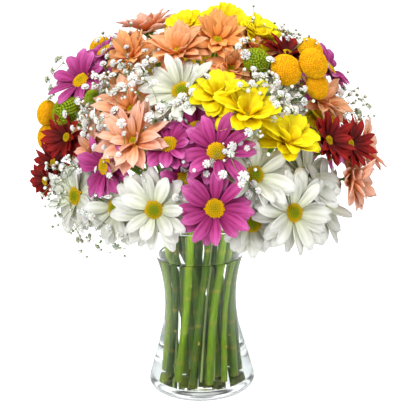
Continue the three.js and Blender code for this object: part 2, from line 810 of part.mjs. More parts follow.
Object.entries(BREATH).forEach(([name, spray], i) => {
  spray.umbels.forEach((_, rank) => {
    const serial = 400 + 10 * i + rank;
    const found = findUmbel(name, spray, rank, serial);
    if (rank === 0) {
      stems[name] = { ...found, radii: found.points.map(() => BREATH_STEM_RADIUS), solids: [] };
    }
    const out = found.centre.clone().sub(HEART).normalize();
    const right = new THREE.Vector3(0, 0, 1).cross(out).normalize();
    const umbel = { centre: found.centre, out, right, up: out.clone().cross(right), shape: UMBEL };
    const twigs = Array.from({ length: UMBEL.petals }, (_, k) => {
      const way = TWIG_WAYS.find((twig) => isClear(bladeSolid(twigRows(umbel, k, twig, GAP)), name));
      return way && twigRows(umbel, k, way, 0);
    });
    for (const solid of [found.solid, daisySolid(umbel, twigs)]) {
      place(name, solid);
      stems[name].solids.push(solid);
    }
  });
});

// ---- Everything as nodes ---------------------------------------------------------------------------
const GLASS_TINT = 0xe8f1f2;
const WATER_TINT = 0xdfeaea;
const STEM_GREEN = 0x6f9a2c;
const BREATH_WHITE = 0xeef0e2;

addMesh("vase", vase, GLASS_TINT, 0.05, 0.3);

// The water has a plain hole for each stem, down to the glass.
const holes = Object.values(stems).map(({ points, radii }) => {
  const down = points[0].clone().sub(points[1]).normalize();
  const swollen = [radii[0], ...radii].map((radius) => radius + GAP + 0.1);
  return tube([along(points[0], down, 6), ...points], swollen, radii[0] === STEM_RADIUS ? STEM_SIDES : 3);
});
addMesh("water", waterBody.subtract(fused(holes)), WATER_TINT, 0.02, 0.3);

for (const [name, stem] of Object.entries(stems)) {
  addMesh(name, fused(stem.solids), name in BREATH ? BREATH_WHITE : STEM_GREEN, 0.5);
}
for (const node of new Set(heads.map((head) => head.node))) {
  const members = heads.filter((head) => head.node === node);
  addMesh(node, fused(members.map((head) => head.solid)), members[0].shape.colour);
}

export default bouquet;
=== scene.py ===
from math import cos, pi, radians, sin, sqrt

import bmesh
import bpy
import numpy as np
from mathutils import Matrix, Quaternion, Vector
from mathutils.bvhtree import BVHTree


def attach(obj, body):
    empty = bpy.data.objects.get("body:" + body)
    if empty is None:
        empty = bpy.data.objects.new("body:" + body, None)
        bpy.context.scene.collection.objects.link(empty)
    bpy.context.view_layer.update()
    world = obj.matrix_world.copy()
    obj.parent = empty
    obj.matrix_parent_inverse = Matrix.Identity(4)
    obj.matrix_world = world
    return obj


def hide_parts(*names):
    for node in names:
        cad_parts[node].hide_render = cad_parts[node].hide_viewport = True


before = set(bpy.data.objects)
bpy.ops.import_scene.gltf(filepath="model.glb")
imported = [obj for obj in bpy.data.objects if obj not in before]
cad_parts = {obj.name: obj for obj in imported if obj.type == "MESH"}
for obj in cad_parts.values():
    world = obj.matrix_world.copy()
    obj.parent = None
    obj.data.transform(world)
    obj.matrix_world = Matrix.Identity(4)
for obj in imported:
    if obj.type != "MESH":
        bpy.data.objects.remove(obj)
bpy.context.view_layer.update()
MM = 0.001

# ---- The camera ----
# It looks down a little on the bouquet, at AIM, and is slightly tilted. HEART is the middle of the dome of
# flowers. The picture is a square of 405 pixels, and the sensor is 36 mm wide.
HEART = Vector((8, 0, 225)) * MM
AIM = Vector((0.0043, 0, 0.195))
PITCH, ROLL, DISTANCE = radians(17), radians(1.3), 1.45
FOCAL, PICTURE, SENSOR = 1450, 405, 36
forward = Vector((0, cos(PITCH), -sin(PITCH)))
level, upright = Vector((1, 0, 0)), Vector((0, sin(PITCH), cos(PITCH)))
right = level * cos(ROLL) - upright * sin(ROLL)
upward = level * sin(ROLL) + upright * cos(ROLL)


def linked(name, data):
    """A new object in the scene that holds this data."""
    holder = bpy.data.objects.new(name, data)
    bpy.context.collection.objects.link(holder)
    return holder


camera = linked("camera", bpy.data.cameras.new("camera"))
camera.matrix_world = Matrix.Translation(AIM - forward * DISTANCE) @ (
    Matrix((right, upward, -forward)).transposed().to_4x4()
)
camera.data.lens = SENSOR * FOCAL / PICTURE
bpy.context.scene.camera = camera

# ---- The vase ----
# Clear pressed glass: a thick floor in a rounded foot, a narrow waist and a flared mouth with a
# fire-rounded lip. Its section, in millimetres, is spun round the upright axis.
VASE_SIDE = [
    (54.5, 9), (46.9, 36), (38.6, 68), (36.3, 94), (38.8, 121), (45.4, 145), (52, 163), (58.5, 178.6),
]
VASE_FOOT = [(0, 1.1), (38, 1.1), (42, 0), (47, 0), (51.5, 2.6), (53.6, 5.6), (54.5, 9)]
GLASS, LIP_RISE = 3, 1.4
FLOOR, FLOOR_RADIUS, WALL_FOOT = 9, 44, 47.4
WATER_LEVEL = 142
SPIN_STEPS = 112


def through(points, steps):
    """A smooth curve through points, with so many steps from one to the next."""
    points = [Vector(p) for p in points]
    curve = []
    for i in range(len(points) - 1):
        a, b = points[i], points[i + 1]
        before, after = points[max(i - 1, 0)], points[min(i + 2, len(points) - 1)]
        leave, arrive = (b - before) / 2, (after - a) / 2
        for k in range(steps):
            t = k / steps
            curve.append(
                a * (2 * t**3 - 3 * t**2 + 1) + leave * (t**3 - 2 * t**2 + t)
                + b * (3 * t**2 - 2 * t**3) + arrive * (t**3 - t**2)
            )
    return curve + [points[-1]]


def mesh_of(name, bm):
    """The mesh of a finished bmesh."""
    mesh = bpy.data.meshes.new(name)
    bm.to_mesh(mesh)
    bm.free()
    return mesh


def spun(name, section):
    """A closed body with this section, given as radii and heights in millimetres."""
    bm = bmesh.new()
    foot_contact_shade = [bm.verts.new((r * MM, 0, z * MM)) for r, z in section]
    edges = [bm.edges.new(pair) for pair in zip(foot_contact_shade, foot_contact_shade[1:])]
    bmesh.ops.spin(
        bm, geom=foot_contact_shade + edges, axis=(0, 0, 1), cent=(0, 0, 0), angle=2 * pi, steps=SPIN_STEPS, use_merge=True
    )
    bmesh.ops.remove_doubles(bm, verts=bm.verts, dist=1e-6)
    bmesh.ops.recalc_face_normals(bm, faces=bm.faces)
    piece = linked(name, mesh_of(name, bm))
    piece.data.shade_smooth()
    return piece


def tree_of(name):
    """A new material, its node tree and its Principled BSDF."""
    material = bpy.data.materials.new(name)
    material.use_nodes = True
    return material, material.node_tree, material.node_tree.nodes["Principled BSDF"]


def fill(tree, node, **values):
    """Sets inputs of a shader node by their names, or links them where the value is a node or a socket."""
    for key, value in values.items():
        socket = node.inputs[int(key[1:])] if key[0] == "_" else node.inputs[key.replace("_", " ")]
        if isinstance(value, bpy.types.Node):
            value = value.outputs[0]
        if isinstance(value, bpy.types.NodeSocket):
            tree.links.new(value, socket)
        else:
            socket.default_value = value


def add(tree, kind, **settings):
    """A shader node of this kind, with its settings and its inputs."""
    node = tree.nodes.new("ShaderNode" + kind)
    for key, value in settings.items():
        if hasattr(node, key):
            setattr(node, key, value)
        else:
            fill(tree, node, **{key: value})
    return node


def times(tree, a, b):
    return add(tree, "Math", operation="MULTIPLY", _0=a, _1=b)


def ranged(tree, value, start=0.0, end=1.0, low=0.0, high=1.0):
    """The value, carried from the range between start and end to the one between low and high."""
    return add(tree, "MapRange", Value=value, _1=start, _2=end, _3=low, _4=high)


def mixed(tree, share, first, second, **settings):
    """The first colour, turned into the second one by this share."""
    return add(tree, "Mix", data_type="RGBA", _0=share, _6=first, _7=second, **settings).outputs[2]


def bumpy(tree, surface, pattern, strength, distance, **settings):
    """Small bumps on a surface where this pattern is high."""
    fill(tree, surface, Normal=add(tree, "Bump", Height=pattern, Strength=strength, Distance=distance,
                                   **settings))


def clear_for_shadows(tree, surface):
    """Light from the lamps passes straight through, as it nearly does through thin clear glass."""
    passing = add(tree, "BsdfTransparent", Color=(0.985, 0.99, 0.985, 1))
    shadow = add(tree, "LightPath").outputs["Is Shadow Ray"]
    either = add(tree, "MixShader", _0=shadow, _1=surface, _2=passing)
    fill(tree, tree.nodes["Material Output"], Surface=either)


outside = [(p.x, p.y) for p in through([(r, z, 0) for r, z in VASE_SIDE], 9)]
foot = VASE_FOOT[:3] + [(p.x, p.y) for p in through([(r, z, 0) for r, z in VASE_FOOT[3:]], 4)]
half = GLASS / 2
mouth, top = VASE_SIDE[-1]
lip = [(mouth - half + half * cos(a), top + LIP_RISE * sin(a)) for a in np.linspace(0.3, pi - 0.3, 6)]
inside = [(r - GLASS, z) for r, z in reversed(outside) if z > FLOOR + 4]
well = [(WALL_FOOT, 10.6), (FLOOR_RADIUS, FLOOR), (0, FLOOR)]
vase = spun("clear_vase", foot[:-1] + outside + lip + inside + well)
glass, tree, surface = tree_of("clear_glass")
place = add(tree, "TexCoord").outputs["Object"]
height = add(tree, "SeparateXYZ", Vector=place).outputs["Z"]
facing = add(tree, "LayerWeight", Blend=0.5).outputs["Facing"]
# Painted shade: the glass is coloured a darker grey-blue where it is seen edge-on.
edge_shade = mixed(tree, ranged(tree, facing, 0.35, 1.0), (0.975, 0.985, 0.975, 1), (0.28, 0.34, 0.39, 1))
# Painted shade: a dark grey-green band along the bottom 2.5 mm of the foot stands for the contact shade
# where the vase meets the table.
foot_contact_shade = ranged(tree, height, 0.0, 0.0025, 1.0, 0.0)
fill(tree, surface, IOR=1.36, Specular_Tint=(0.25, 0.27, 0.29, 1), Transmission_Weight=1,
     Roughness=ranged(tree, height, 0.006, 0.013, 0.12, 0.0),
     Base_Color=mixed(tree, foot_contact_shade, edge_shade, (0.2, 0.24, 0.22, 1)))
waves = add(tree, "TexNoise", Vector=place, Scale=34.0, Detail=1.0)
bumpy(tree, surface, waves, 0.05, 0.001)
clear_for_shadows(tree, surface)
vase.data.materials.append(glass)
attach(vase, "root")
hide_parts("vase")

# ---- The water ----
# Clear still water, from the floor up to where the mouth flares. It wets the glass, so its surface climbs
# a little at the wall.
wetted = [(r - GLASS + 0.1, z) for r, z in outside if FLOOR + 4 < z < WATER_LEVEL]
edge = wetted[-1][0] + 1.1
below = [(0, FLOOR + 0.02), (FLOOR_RADIUS, FLOOR + 0.02), (WALL_FOOT, 10.7)]
surface_curve = [
    (edge + 0.25, WATER_LEVEL + 0.6), (edge - 1.2, WATER_LEVEL - 0.5), (edge - 3, WATER_LEVEL - 0.9),
    (0, WATER_LEVEL - 1),
]
water = spun("still_water", below + wetted + surface_curve)
liquid, tree, surface = tree_of("clear_water")
fill(tree, surface, Base_Color=(0.96, 0.985, 0.965, 1), Roughness=0.0, IOR=1.24,
     Specular_Tint=(0.05, 0.06, 0.06, 1), Transmission_Weight=1)
place = add(tree, "TexCoord").outputs["Object"]
ripple = add(tree, "TexNoise", Vector=place, Scale=60.0, Detail=2.0)
bumpy(tree, surface, ripple, 0.04, 0.001)
clear_for_shadows(tree, surface)
water.data.materials.append(liquid)
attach(water, "root")
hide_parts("water")

# ---- The sprays ----
# Every stem carries one spray of one kind. A row has the stem's kind, the ring and the longitude in which
# it passes the waist, and the heads of each node: longitude, latitude and reach from the heart of the
# dome, the longitude and latitude that the head faces, and its radius in millimetres.
SPRAYS = {
    "stem_white_left": ("white", "outer", -30, {
        "white_daisies_left": [(-18, 3, 152, -9, 17, 38), (-37, 0, 138, -42, 8, 35),
            (-58, 1, 144, -48, 10, 36)],
    }),
    "stem_white_middle": ("white", "middle", 0, {
        "white_daisy_top": [(-13, 49, 137, -12, 44, 38)],
        "white_daisies_right": [(19, 14, 138, 26, 26, 37), (45, 9, 131, 48, 30, 37)],
    }),
    "stem_white_right": ("white", "outer", 30, {
        "white_daisies_right": [(31.5, -1, 150, 28, 14, 39), (51, -3, 138, 62, 10, 39),
            (17, -4.5, 138, 14, 10, 29)],
    }),
    "stem_white_back": ("white", "outer", 180, {
        "white_daisies_back": [(164, -4, 146, 164, 6, 41), (190, 8, 148, 190, 16, 41),
            (148, 16, 144, 148, 26, 40)],
    }),
    "stem_magenta_left": ("magenta", "outer", -60, {
        "magenta_daisies_upper_left": [(-84, 40, 154, -46, 50, 33), (-90, 53, 156, -70, 56, 24)],
        "magenta_daisy_left": [(-41, 16, 144, -52, 16, 32)],
    }),
    "stem_magenta_centre": ("magenta", "outer", 0, {
        "magenta_daisies_centre": [(2.5, 4.3, 156, 3, 18, 34), (4, 23, 150, 4, 34, 35),
            (-14.5, 25.5, 146, -8, 54, 29), (-8, 13, 138, -8, 24, 26), (-4, 33, 134, 0, 50, 27)],
    }),
    "stem_magenta_right": ("magenta", "outer", 120, {
        "magenta_daisies_back": [(127, 27, 148, 127, 34, 38), (144, 40, 145, 144, 48, 34),
            (124, 5, 148, 122, 12, 38)],
        "magenta_daisy_upper_right": [(94, 39, 159, 84, 34, 27)],
    }),
    "stem_peach_left": ("peach", "inner", -43, {
        "peach_daisies_left": [(-29.5, 26, 146, -32, 38, 37), (-42, 40, 131, -40, 48, 37),
            (-60, 19, 128, -62, 24, 30)],
    }),
    "stem_peach_top": ("peach", "inner", 189, {
        "peach_daisies_top_right": [(26, 77.5, 142, 16, 50, 29), (72, 69, 138, 50, 54, 25),
            (24, 62, 132, 10, 46, 25)],
        "peach_daisy_top": [(-28, 69, 141, -14, 56, 29)],
        "peach_daisies_top_left": [(-70, 60, 143, -46, 50, 28), (-104, 69, 152, -110, 74, 30)],
    }),
    "stem_peach_right": ("peach", "outer", 90, {
        "peach_daisies_right": [(84, 11, 156, 82, 16, 30), (66, 3.5, 151, 65, 10, 31)],
        "peach_daisy_upper_right": [(72, 34, 140, 66, 46, 32)],
    }),
    "stem_peach_back": ("peach", "outer", 210, {
        "peach_daisies_back": [(222, 26, 148, 222, 34, 39), (235, 9, 147, 236, 14, 38),
            (208, 43, 145, 206, 50, 36)],
    }),
    "stem_yellow_front": ("yellow", "inner", 43, {
        "yellow_daisies_front": [(18.5, 36, 146, 36, 62, 34), (7.5, 45, 142, -4, 66, 27),
            (34.7, 24, 144, 30, 60, 30)],
        "yellow_daisy_right": [(76, 27, 128, 60, 50, 20)],
    }),
    "stem_yellow_top": ("yellow", "inner", 138, {
        "yellow_daisies_top": [(112, 81, 146, 30, 52, 26), (84, 69, 148, 56, 56, 22)],
        "yellow_daisy_top_left": [(-56, 83, 149, -30, 60, 20)],
    }),
    "stem_yellow_back": ("yellow", "outer", 150, {
        "yellow_daisies_back": [(166, 50, 146, 164, 56, 34), (179, 33, 147, 180, 40, 33),
            (200, 22, 145, 202, 30, 32), (186, 60, 143, 184, 64, 30)],
    }),
    "stem_red_right": ("red", "outer", 60, {
        "red_daisies_right": [(54, 20.5, 151, 48, 24, 26), (67, 16, 155, 54, 20, 26)],
        "red_daisy_top_right": [(71, 56, 151, 40, 70, 25)],
    }),
    "stem_red_left": ("red", "outer", -90, {
        "red_daisies_left": [(-79, 8.5, 151, -48, 10, 25), (-74, 20, 146, -44, 22, 25),
            (-82, 1, 158, -52, 2, 18)],
    }),
    "stem_red_back": ("red", "outer", 240, {
        "red_daisy_low_back": [(213, 0, 150, 212, 8, 33)],
        "red_daisy_high_back": [(240, 46, 149, 240, 50, 32)],
    }),
    "stem_buttons_right": ("button", "inner", 86, {
        "yellow_buttons_right": [(47.5, 49, 151, 40, 36, 15.5), (57.5, 45.7, 166, 52, 34, 15),
            (63, 49.7, 168, 66, 48, 13), (59.5, 39.5, 153, 58, 26, 12.5)],
    }),
    "stem_buttons_left": ("button", "inner", -119, {
        "yellow_buttons_left": [(-95, 22, 163, -80, 16, 13), (-94, 14, 156, -80, 8, 13)],
        "yellow_button_upper_left": [(-112, 48, 161, -108, 48, 11)],
    }),
    "stem_green": ("green", "inner", -15, {
        "green_button_left": [(-79, 28, 148, -60, 36, 15.5)],
        "green_button_small": [(-64, 38, 146, -60, 30, 8)],
        "green_button_right": [(39, 58, 143, 26, 46, 13)],
    }),
}


def draw(a, b):
    """A repeatable draw between -1 and 1 for a pair of whole numbers."""
    wave = sin(a * 127.1 + b * 311.7) * 43758.5453
    return 2 * (wave % 1) - 1


def towards(longitude, latitude):
    lon, lat = radians(longitude), radians(latitude)
    return Vector((sin(lon) * cos(lat), -cos(lon) * cos(lat), sin(lat)))


class Head:
    """One flower head, with axes of its own: out of its face, and two across it."""

    def __init__(self, kind, node, row, serial):
        longitude, latitude, reach, face_longitude, face_latitude, radius = row
        self.button = kind in ("button", "green")
        self.kind, self.node, self.serial, self.radius = kind, node, serial, radius * MM
        self.centre = HEART + towards(longitude, latitude) * reach * MM
        self.out = towards(face_longitude, face_latitude)
        high = (self.centre.z - HEART.z) / 0.09 - 0.65 + 0.25 * draw(serial, 7)
        self.blush = 0.0 if face_longitude < -105 else min(max(high, 0), 1)
        right = Vector((0, 0, 1)).cross(self.out).normalized()
        right.rotate(Quaternion(self.out, radians(180 * draw(serial, 1))))
        self.right = right
        self.up = self.out.cross(right)

    def axes(self):
        return np.array([self.right, self.up, self.out])

    def point(self, angle, distance, height):
        across = self.right * cos(angle) + self.up * sin(angle)
        return self.centre + across * distance + self.out * height


heads = []
for i, (kind, _, _, nodes) in enumerate(SPRAYS.values()):
    rows = [(node, row) for node, own in nodes.items() for row in own]
    heads += [Head(kind, node, row, 10 * i + j) for j, (node, row) in enumerate(rows)]

# ---- Stems, stalks and calyxes ----
# Stripped green stems, 6 to 8 mm thick, with the scars and stubs of the leaves that were taken off. They
# cross the waist in a bundle, and each branches under the dome into a thin stalk and a green cup a head.
RINGS = {
    "outer": ((30, 26.3, 37), 18), "breath": ((22.5, 20, 28), 18),
    "inner": ((15, 13.5, 19), -18), "middle": ((3, 0.5, 2), 0),
}
BUTTON_UNDERSIDE = (0.42 - 0.72 * 0.62) * 1.07  # seen from its middle, as a share of its radius


def blank_of(bm):
    """A closed unit shape that pieces are made of many bent copies of, and its corners."""
    bmesh.ops.recalc_face_normals(bm, faces=bm.faces)
    mesh = mesh_of("blank", bm)
    return mesh, np.array([v.co for v in mesh.vertices])


def rod_blank(sides, steps):
    """A rod of radius 1 along z from 0 to 1, in so many steps."""
    bm = bmesh.new()
    bmesh.ops.create_circle(bm, cap_ends=True, segments=sides, radius=1)
    end = bm.faces[:]
    for _ in range(steps):
        grown = bmesh.ops.extrude_face_region(bm, geom=end)["geom"]
        end = [f for f in grown if isinstance(f, bmesh.types.BMFace)]
        bmesh.ops.translate(bm, verts=end[0].verts, vec=(0, 0, 1 / steps))
    return blank_of(bm)


def joined(name, copies, material):
    """One piece from copies of blanks, each with its corners and its marks for the material."""
    bm = bmesh.new()
    for (blank, _), _, _ in copies:
        bm.from_mesh(blank)
    mesh = mesh_of(name, bm)
    mesh.vertices.foreach_set("co", np.concatenate([c[1] for c in copies]).astype("f").ravel())
    for label in ("along", "across", "tone", "blush"):
        values = np.concatenate([np.broadcast_to(c[2].get(label, 0.0), len(c[1])) for c in copies])
        mesh.attributes.new(label, "FLOAT", "POINT").data.foreach_set("value", values.astype("f"))
    mesh.shade_smooth()
    mesh.materials.append(material)
    piece = linked(name, mesh)
    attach(piece, "root")
    return piece


def mark(tree, label):
    """What joined() wrote under this label at every corner."""
    return add(tree, "Attribute", attribute_name=label).outputs["Fac"]


def bent(blank, path, radius):
    """The corners of a rod along a path. radius gives its radius from the share of its length."""
    corners = blank[1]
    share = np.unique(np.round(corners[:, 2], 5))
    path = np.array(path)
    length = np.concatenate([[0], np.cumsum(np.linalg.norm(np.diff(path, axis=0), axis=1))])
    spots = np.stack([np.interp(share * length[-1], length, path[:, i]) for i in range(3)], 1)
    heading = np.gradient(spots, axis=0)
    heading /= np.linalg.norm(heading, axis=1)[:, None]
    across = np.array([1, 0.3, 0.1])
    frames = []
    for direction in heading:
        across = across - direction * across.dot(direction)
        across /= np.linalg.norm(across)
        frames.append((across, np.cross(direction, across)))
    row = np.searchsorted(share, np.round(corners[:, 2], 5) - 1e-6)
    frames = np.array(frames)[row]
    wide = np.array([radius(s) for s in share])[row]
    return spots[row] + wide[:, None] * (corners[:, :1] * frames[:, 0] + corners[:, 1:2] * frames[:, 1])


def bezier(corners, count):
    a, b, c, d = corners
    return [
        a * (1 - t) ** 3 + b * 3 * t * (1 - t) ** 2 + c * 3 * t * t * (1 - t) + d * t**3
        for t in np.linspace(0, 1, count)
    ]


def stem_line(ring, longitude, end):
    """From the floor of the vase over its waist, out of its mouth and towards the flowers."""
    radii, twist = RINGS[ring]
    spots = [
        (towards(longitude + (i - 1) * twist, 0) * radii[i] + Vector((0, 0, height))) * MM
        for i, height in enumerate((FLOOR + 2, 94, 183))
    ]
    mouth = spots[2]
    turn = mouth + (mouth - spots[1]).normalized() * (mouth - end).length * 0.45
    arc = [mouth * (1 - t) ** 2 + turn * 2 * t * (1 - t) + end * t * t for t in (1 / 3, 2 / 3, 1)]
    return through(spots + arc, 12)


stem_rod = rod_blank(14, 96)
stalk_rod = rod_blank(7, 12)
stub_bm = bmesh.new()
bmesh.ops.create_icosphere(stub_bm, subdivisions=1, radius=1)
stub = blank_of(stub_bm)

cup_bm = bmesh.new()
bmesh.ops.create_cone(cup_bm, cap_ends=True, segments=12, radius1=0.3, radius2=1, depth=1)
cup = blank_of(cup_bm)

green, tree, surface = tree_of("fresh_stem")
place = add(tree, "TexCoord").outputs["Object"]
ramp = add(tree, "ValToRGB", Fac=mark(tree, "tone"))
for spot, colour in ((0, (0.035, 0.075, 0.006, 1)), (1, (0.31, 0.46, 0.015, 1))):
    ramp.color_ramp.elements[spot].color = colour
ramp.color_ramp.elements.new(0.5).color = (0.13, 0.235, 0.008, 1)
stretch = add(tree, "Mapping", Vector=place, Scale=(1, 1, 0.06))
streaks = add(tree, "TexNoise", Vector=stretch, Scale=900.0, Detail=3.0)
patches = add(tree, "TexNoise", Vector=place, Scale=45.0, Detail=3.0)
shade = ranged(tree, streaks, 0.3, 0.7, 0.55, 1.35)
grey = add(tree, "CombineColor", Red=shade, Green=shade, Blue=shade)
streaky = mixed(tree, 0.6, ramp, grey, blend_type="MULTIPLY")
worn = mixed(tree, ranged(tree, patches, 0.56, 0.8, 0.0, 0.5), streaky, (0.1, 0.1, 0.015, 1))
scarred = mixed(tree, mark(tree, "across"), worn, (0.4, 0.27, 0.05, 1))
# Painted shade: the stems are darker towards the floor of the vase and lighter up to the water line.
depth = add(tree, "SeparateXYZ", Vector=place).outputs["Z"]
shaded_towards_floor = add(tree, "HueSaturation", Color=scarred, Value=ranged(tree, depth, 0.0, 0.14, 0.5, 1.25))
fill(tree, surface, Base_Color=shaded_towards_floor, Roughness=0.42, Specular_IOR_Level=0.15, Subsurface_Weight=0.1,
     Subsurface_Scale=0.002)
bumpy(tree, surface, streaks, 0.35, 0.0006)

for i, (name, (_, ring, longitude, _)) in enumerate(SPRAYS.items()):
    own = [head for head in heads if head.serial // 10 == i]
    middle = sum((head.centre for head in own), Vector()) / len(own)
    mouth = towards(longitude, 0) * RINGS[ring][0][2] * MM
    mouth.z = 0.18
    line = stem_line(ring, longitude, mouth.lerp(middle, 0.42))
    thick = (3.5 + 0.55 * draw(i, 3)) * MM
    tone = 0.5 + 0.45 * draw(i, 5)
    scars = [0.12 + 0.16 * k + 0.05 * draw(i, k + 9) for k in range(5)]

    def girth(share):
        nodes = sum(np.exp(-(((share - s) / 0.007) ** 2)) for s in scars)
        return thick * (1 - 0.38 * max(share - 0.6, 0) / 0.4) * (1 + 0.13 * nodes)

    share = stem_rod[1][:, 2]
    marks = sum(np.exp(-(((share - s) / 0.005) ** 2)) for s in scars) * 0.6 + (share < 0.012) * 0.2
    copies = [(stem_rod, bent(stem_rod, line, girth), {"along": share, "across": marks, "tone": tone})]
    for k, s in enumerate(scars):
        spot = line[round(s * (len(line) - 1))]
        side = towards(200 * draw(i, k + 30), 10)
        corners = stub[1] * np.array([1.5, 1.5, 2.4]) * MM + np.array(spot + side * thick * 0.92)
        copies.append((stub, corners, {"across": 0.5 + 0.4 * draw(i, k + 40), "tone": tone}))
    for rank, head in enumerate(own):
        start = line[-1 - 2 * rank]
        seat = head.radius * BUTTON_UNDERSIDE if head.button else -0.0008
        foot = head.centre + head.out * seat
        neck = foot - head.out * 0.006
        reach = (neck - start).length
        heading = (line[-1] - line[-3]).normalized()
        path = bezier((start, start + heading * reach * 0.3, neck - head.out * reach * 0.3, neck), 14)
        copies.append((stalk_rod, bent(stalk_rod, path, lambda s: 0.0013 + 0.0005 * (1 - s)), {"tone": 0.4}))
        wide = 0.0046 if head.button else 0.0062
        corners = cup[1] * np.array([wide, wide, 0.0065]) + np.array([0, 0, -0.0032])
        copies.append((cup, corners @ head.axes() + np.array(foot), {"tone": 0.45}))
    piece = joined(name + "_grown", copies, green)
    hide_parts(name)

# ---- Petals of the daisies ----
# Soft strap petals in two or three layers round a disc, ridged along their length. A petal that would cut
# through a neighbouring head gives way: it rises, droops or is a little shorter, until it passes.
# A layer: petals, share of the head's radius, width, rise and bend in degrees, height above the middle.
DAISIES = {
    "white": dict(
        layers=[(7, 0.88, 12, 28, -20, 1.3), (11, 1, 13.5, 14, -22, 0.3), (10, 0.96, 13, 0, -16, -1)],
        disc=9.4, root=0.38, tip=0.42, waist=0.64, ridge=0.6, cup=0.1, ruffle=0.5, notch=0.03,
    ),
    "white_daisy_top": dict(
        layers=[(12, 1, 11, 16, -12, 0.5), (11, 0.95, 11, 2, -10, -0.8)],
        disc=9.4, root=0.34, tip=0.3, waist=0.7, ridge=0.6, cup=0.1, ruffle=0.3, notch=0.06,
    ),
    "magenta": dict(
        layers=[(9, 1, 11.8, 24, -24, 0.6), (9, 0.94, 11.8, 5, -15, -0.8)],
        disc=9.2, root=0.22, tip=0.4, waist=0.68, ridge=0.55, cup=0.2, ruffle=0.4, notch=0.02,
    ),
    "peach": dict(
        layers=[(5, 0.68, 9, 60, -24, 1.8), (10, 1, 12.6, 38, -22, 0.8), (10, 1, 12.6, 16, -16, -0.8)],
        disc=6.4, root=0.3, tip=0.16, waist=0.54, ridge=0.6, cup=0.22, ruffle=0.5, notch=0.0,
    ),
    "yellow": dict(
        layers=[(4, 0.62, 11, 62, -20, 1.6), (9, 1, 15.5, 46, -26, 0.8), (10, 1, 15.5, 22, -20, -0.8)],
        disc=6.6, root=0.3, tip=0.5, waist=0.7, ridge=0.5, cup=0.2, ruffle=0.35, notch=0.05,
    ),
    "red": dict(
        layers=[(11, 1, 7.8, 30, -8, 0.5), (11, 0.94, 7.8, 8, 2, -0.6)],
        disc=5.6, root=0.26, tip=0.22, waist=0.54, ridge=0.5, cup=0.26, ruffle=0.4, notch=0.0,
    ),
}
PETAL_THICKNESS, PETAL_GAP = 0.00055, 0.0032

petal_bm = bmesh.new()
bmesh.ops.create_grid(petal_bm, x_segments=4, y_segments=6, size=1)
bmesh.ops.solidify(petal_bm, geom=petal_bm.faces[:], thickness=0.1)
petal = blank_of(petal_bm)
S, T, SIDE = petal[1][:, 0], (petal[1][:, 1] + 1) / 2, petal[1][:, 2] * 10 + 0.5
STATIONS = np.unique(np.round(T, 4))
STATION = np.searchsorted(STATIONS, np.round(T, 4) - 1e-4)


def petal_corners(head, shape, layer, index, swing, shorter):
    """The corners of one petal: its middle line rises and bends over, and its blade is laid across it."""
    count, share, width, rise, bend, height = shape["layers"][layer]
    serial = head.serial * 7 + layer * 3
    wild = [draw(serial, index * 11 + k) for k in range(8)]
    angle = 2 * pi * (index + 0.5 * layer + 0.3 * wild[0]) / count
    root = shape["disc"] * 0.62 * MM
    length = (head.radius * share * (1 + 0.09 * wild[1]) - root) * shorter
    climb = radians(rise + swing + 10 * wild[2]) + radians(bend + 17 * wild[3]) * STATIONS**1.4
    step = length / (len(STATIONS) - 1)
    along = np.concatenate([[0], np.cumsum(np.cos(climb[1:]) * step)])
    above = np.concatenate([[0], np.cumsum(np.sin(climb[1:]) * step)])
    peak = shape["waist"]
    grow = shape["root"] + (1 - shape["root"]) * np.sin(np.minimum(T / peak, 1) * pi / 2)
    fade = np.clip((T - peak) / (1 - peak), 0, 1)
    narrow = np.sqrt(1 - fade**2.2 * (1 - shape["tip"] ** 2))
    half = width * MM / 2 * (1 + 0.1 * wild[4]) * grow * narrow
    ridges = shape["ridge"] * np.cos(2 * pi * S) * np.sin(pi * np.minimum(T * 1.05, 1)) ** 0.5
    ruffle = shape["ruffle"] * np.sin(5 * S + 9 * T + 6 * wild[5]) * T**2
    lift = (shape["cup"] * half / MM * (S**2 - 0.3) + ridges + ruffle) * MM + SIDE * PETAL_THICKNESS
    sideways = S * half + 0.12 * length * wild[6] * T**2
    roll = 0.55 * wild[7] * T
    turned = sideways * np.cos(roll) - lift * np.sin(roll)
    sideways, lift = turned, sideways * np.sin(roll) + lift * np.cos(roll)
    tip = length * T**9 * (0.06 * (1 - S**2) - shape["notch"] * (1 + wild[5]) * np.exp(-((S / 0.3) ** 2)))
    slope = climb[STATION]
    radial = root + along[STATION] - lift * np.sin(slope) + tip * np.cos(slope)
    high = height * MM + above[STATION] + lift * np.cos(slope) + tip * np.sin(slope)
    turn = np.array([[cos(angle), sin(angle)], [-sin(angle), cos(angle)]])
    flat = np.stack([radial, sideways], 1) @ turn
    return np.array(head.centre) + np.column_stack([flat, high]) @ head.axes()


PROBES = np.where((SIDE > 0.4) & np.isin(STATION, (2, 4, 5, 6)) & (np.abs(S) < 0.9))[0]
# How a petal may give way: shortened to this share, and swung by so many degrees.
GIVES = [(share, swing) for share in (1, 0.9, 0.8) for swing in (0, 8, -8, 16, -16, 26, 38, -26)]


def ball_points(head):
    """Points on the disc or the button of a head, for its neighbours to keep clear of."""
    size = head.radius if head.button else 0.009
    spots = [head.point(k * 2.4, size * 0.9, size * 0.2) for k in range(9)]
    return np.array(spots + [head.centre + head.out * size * 0.6])


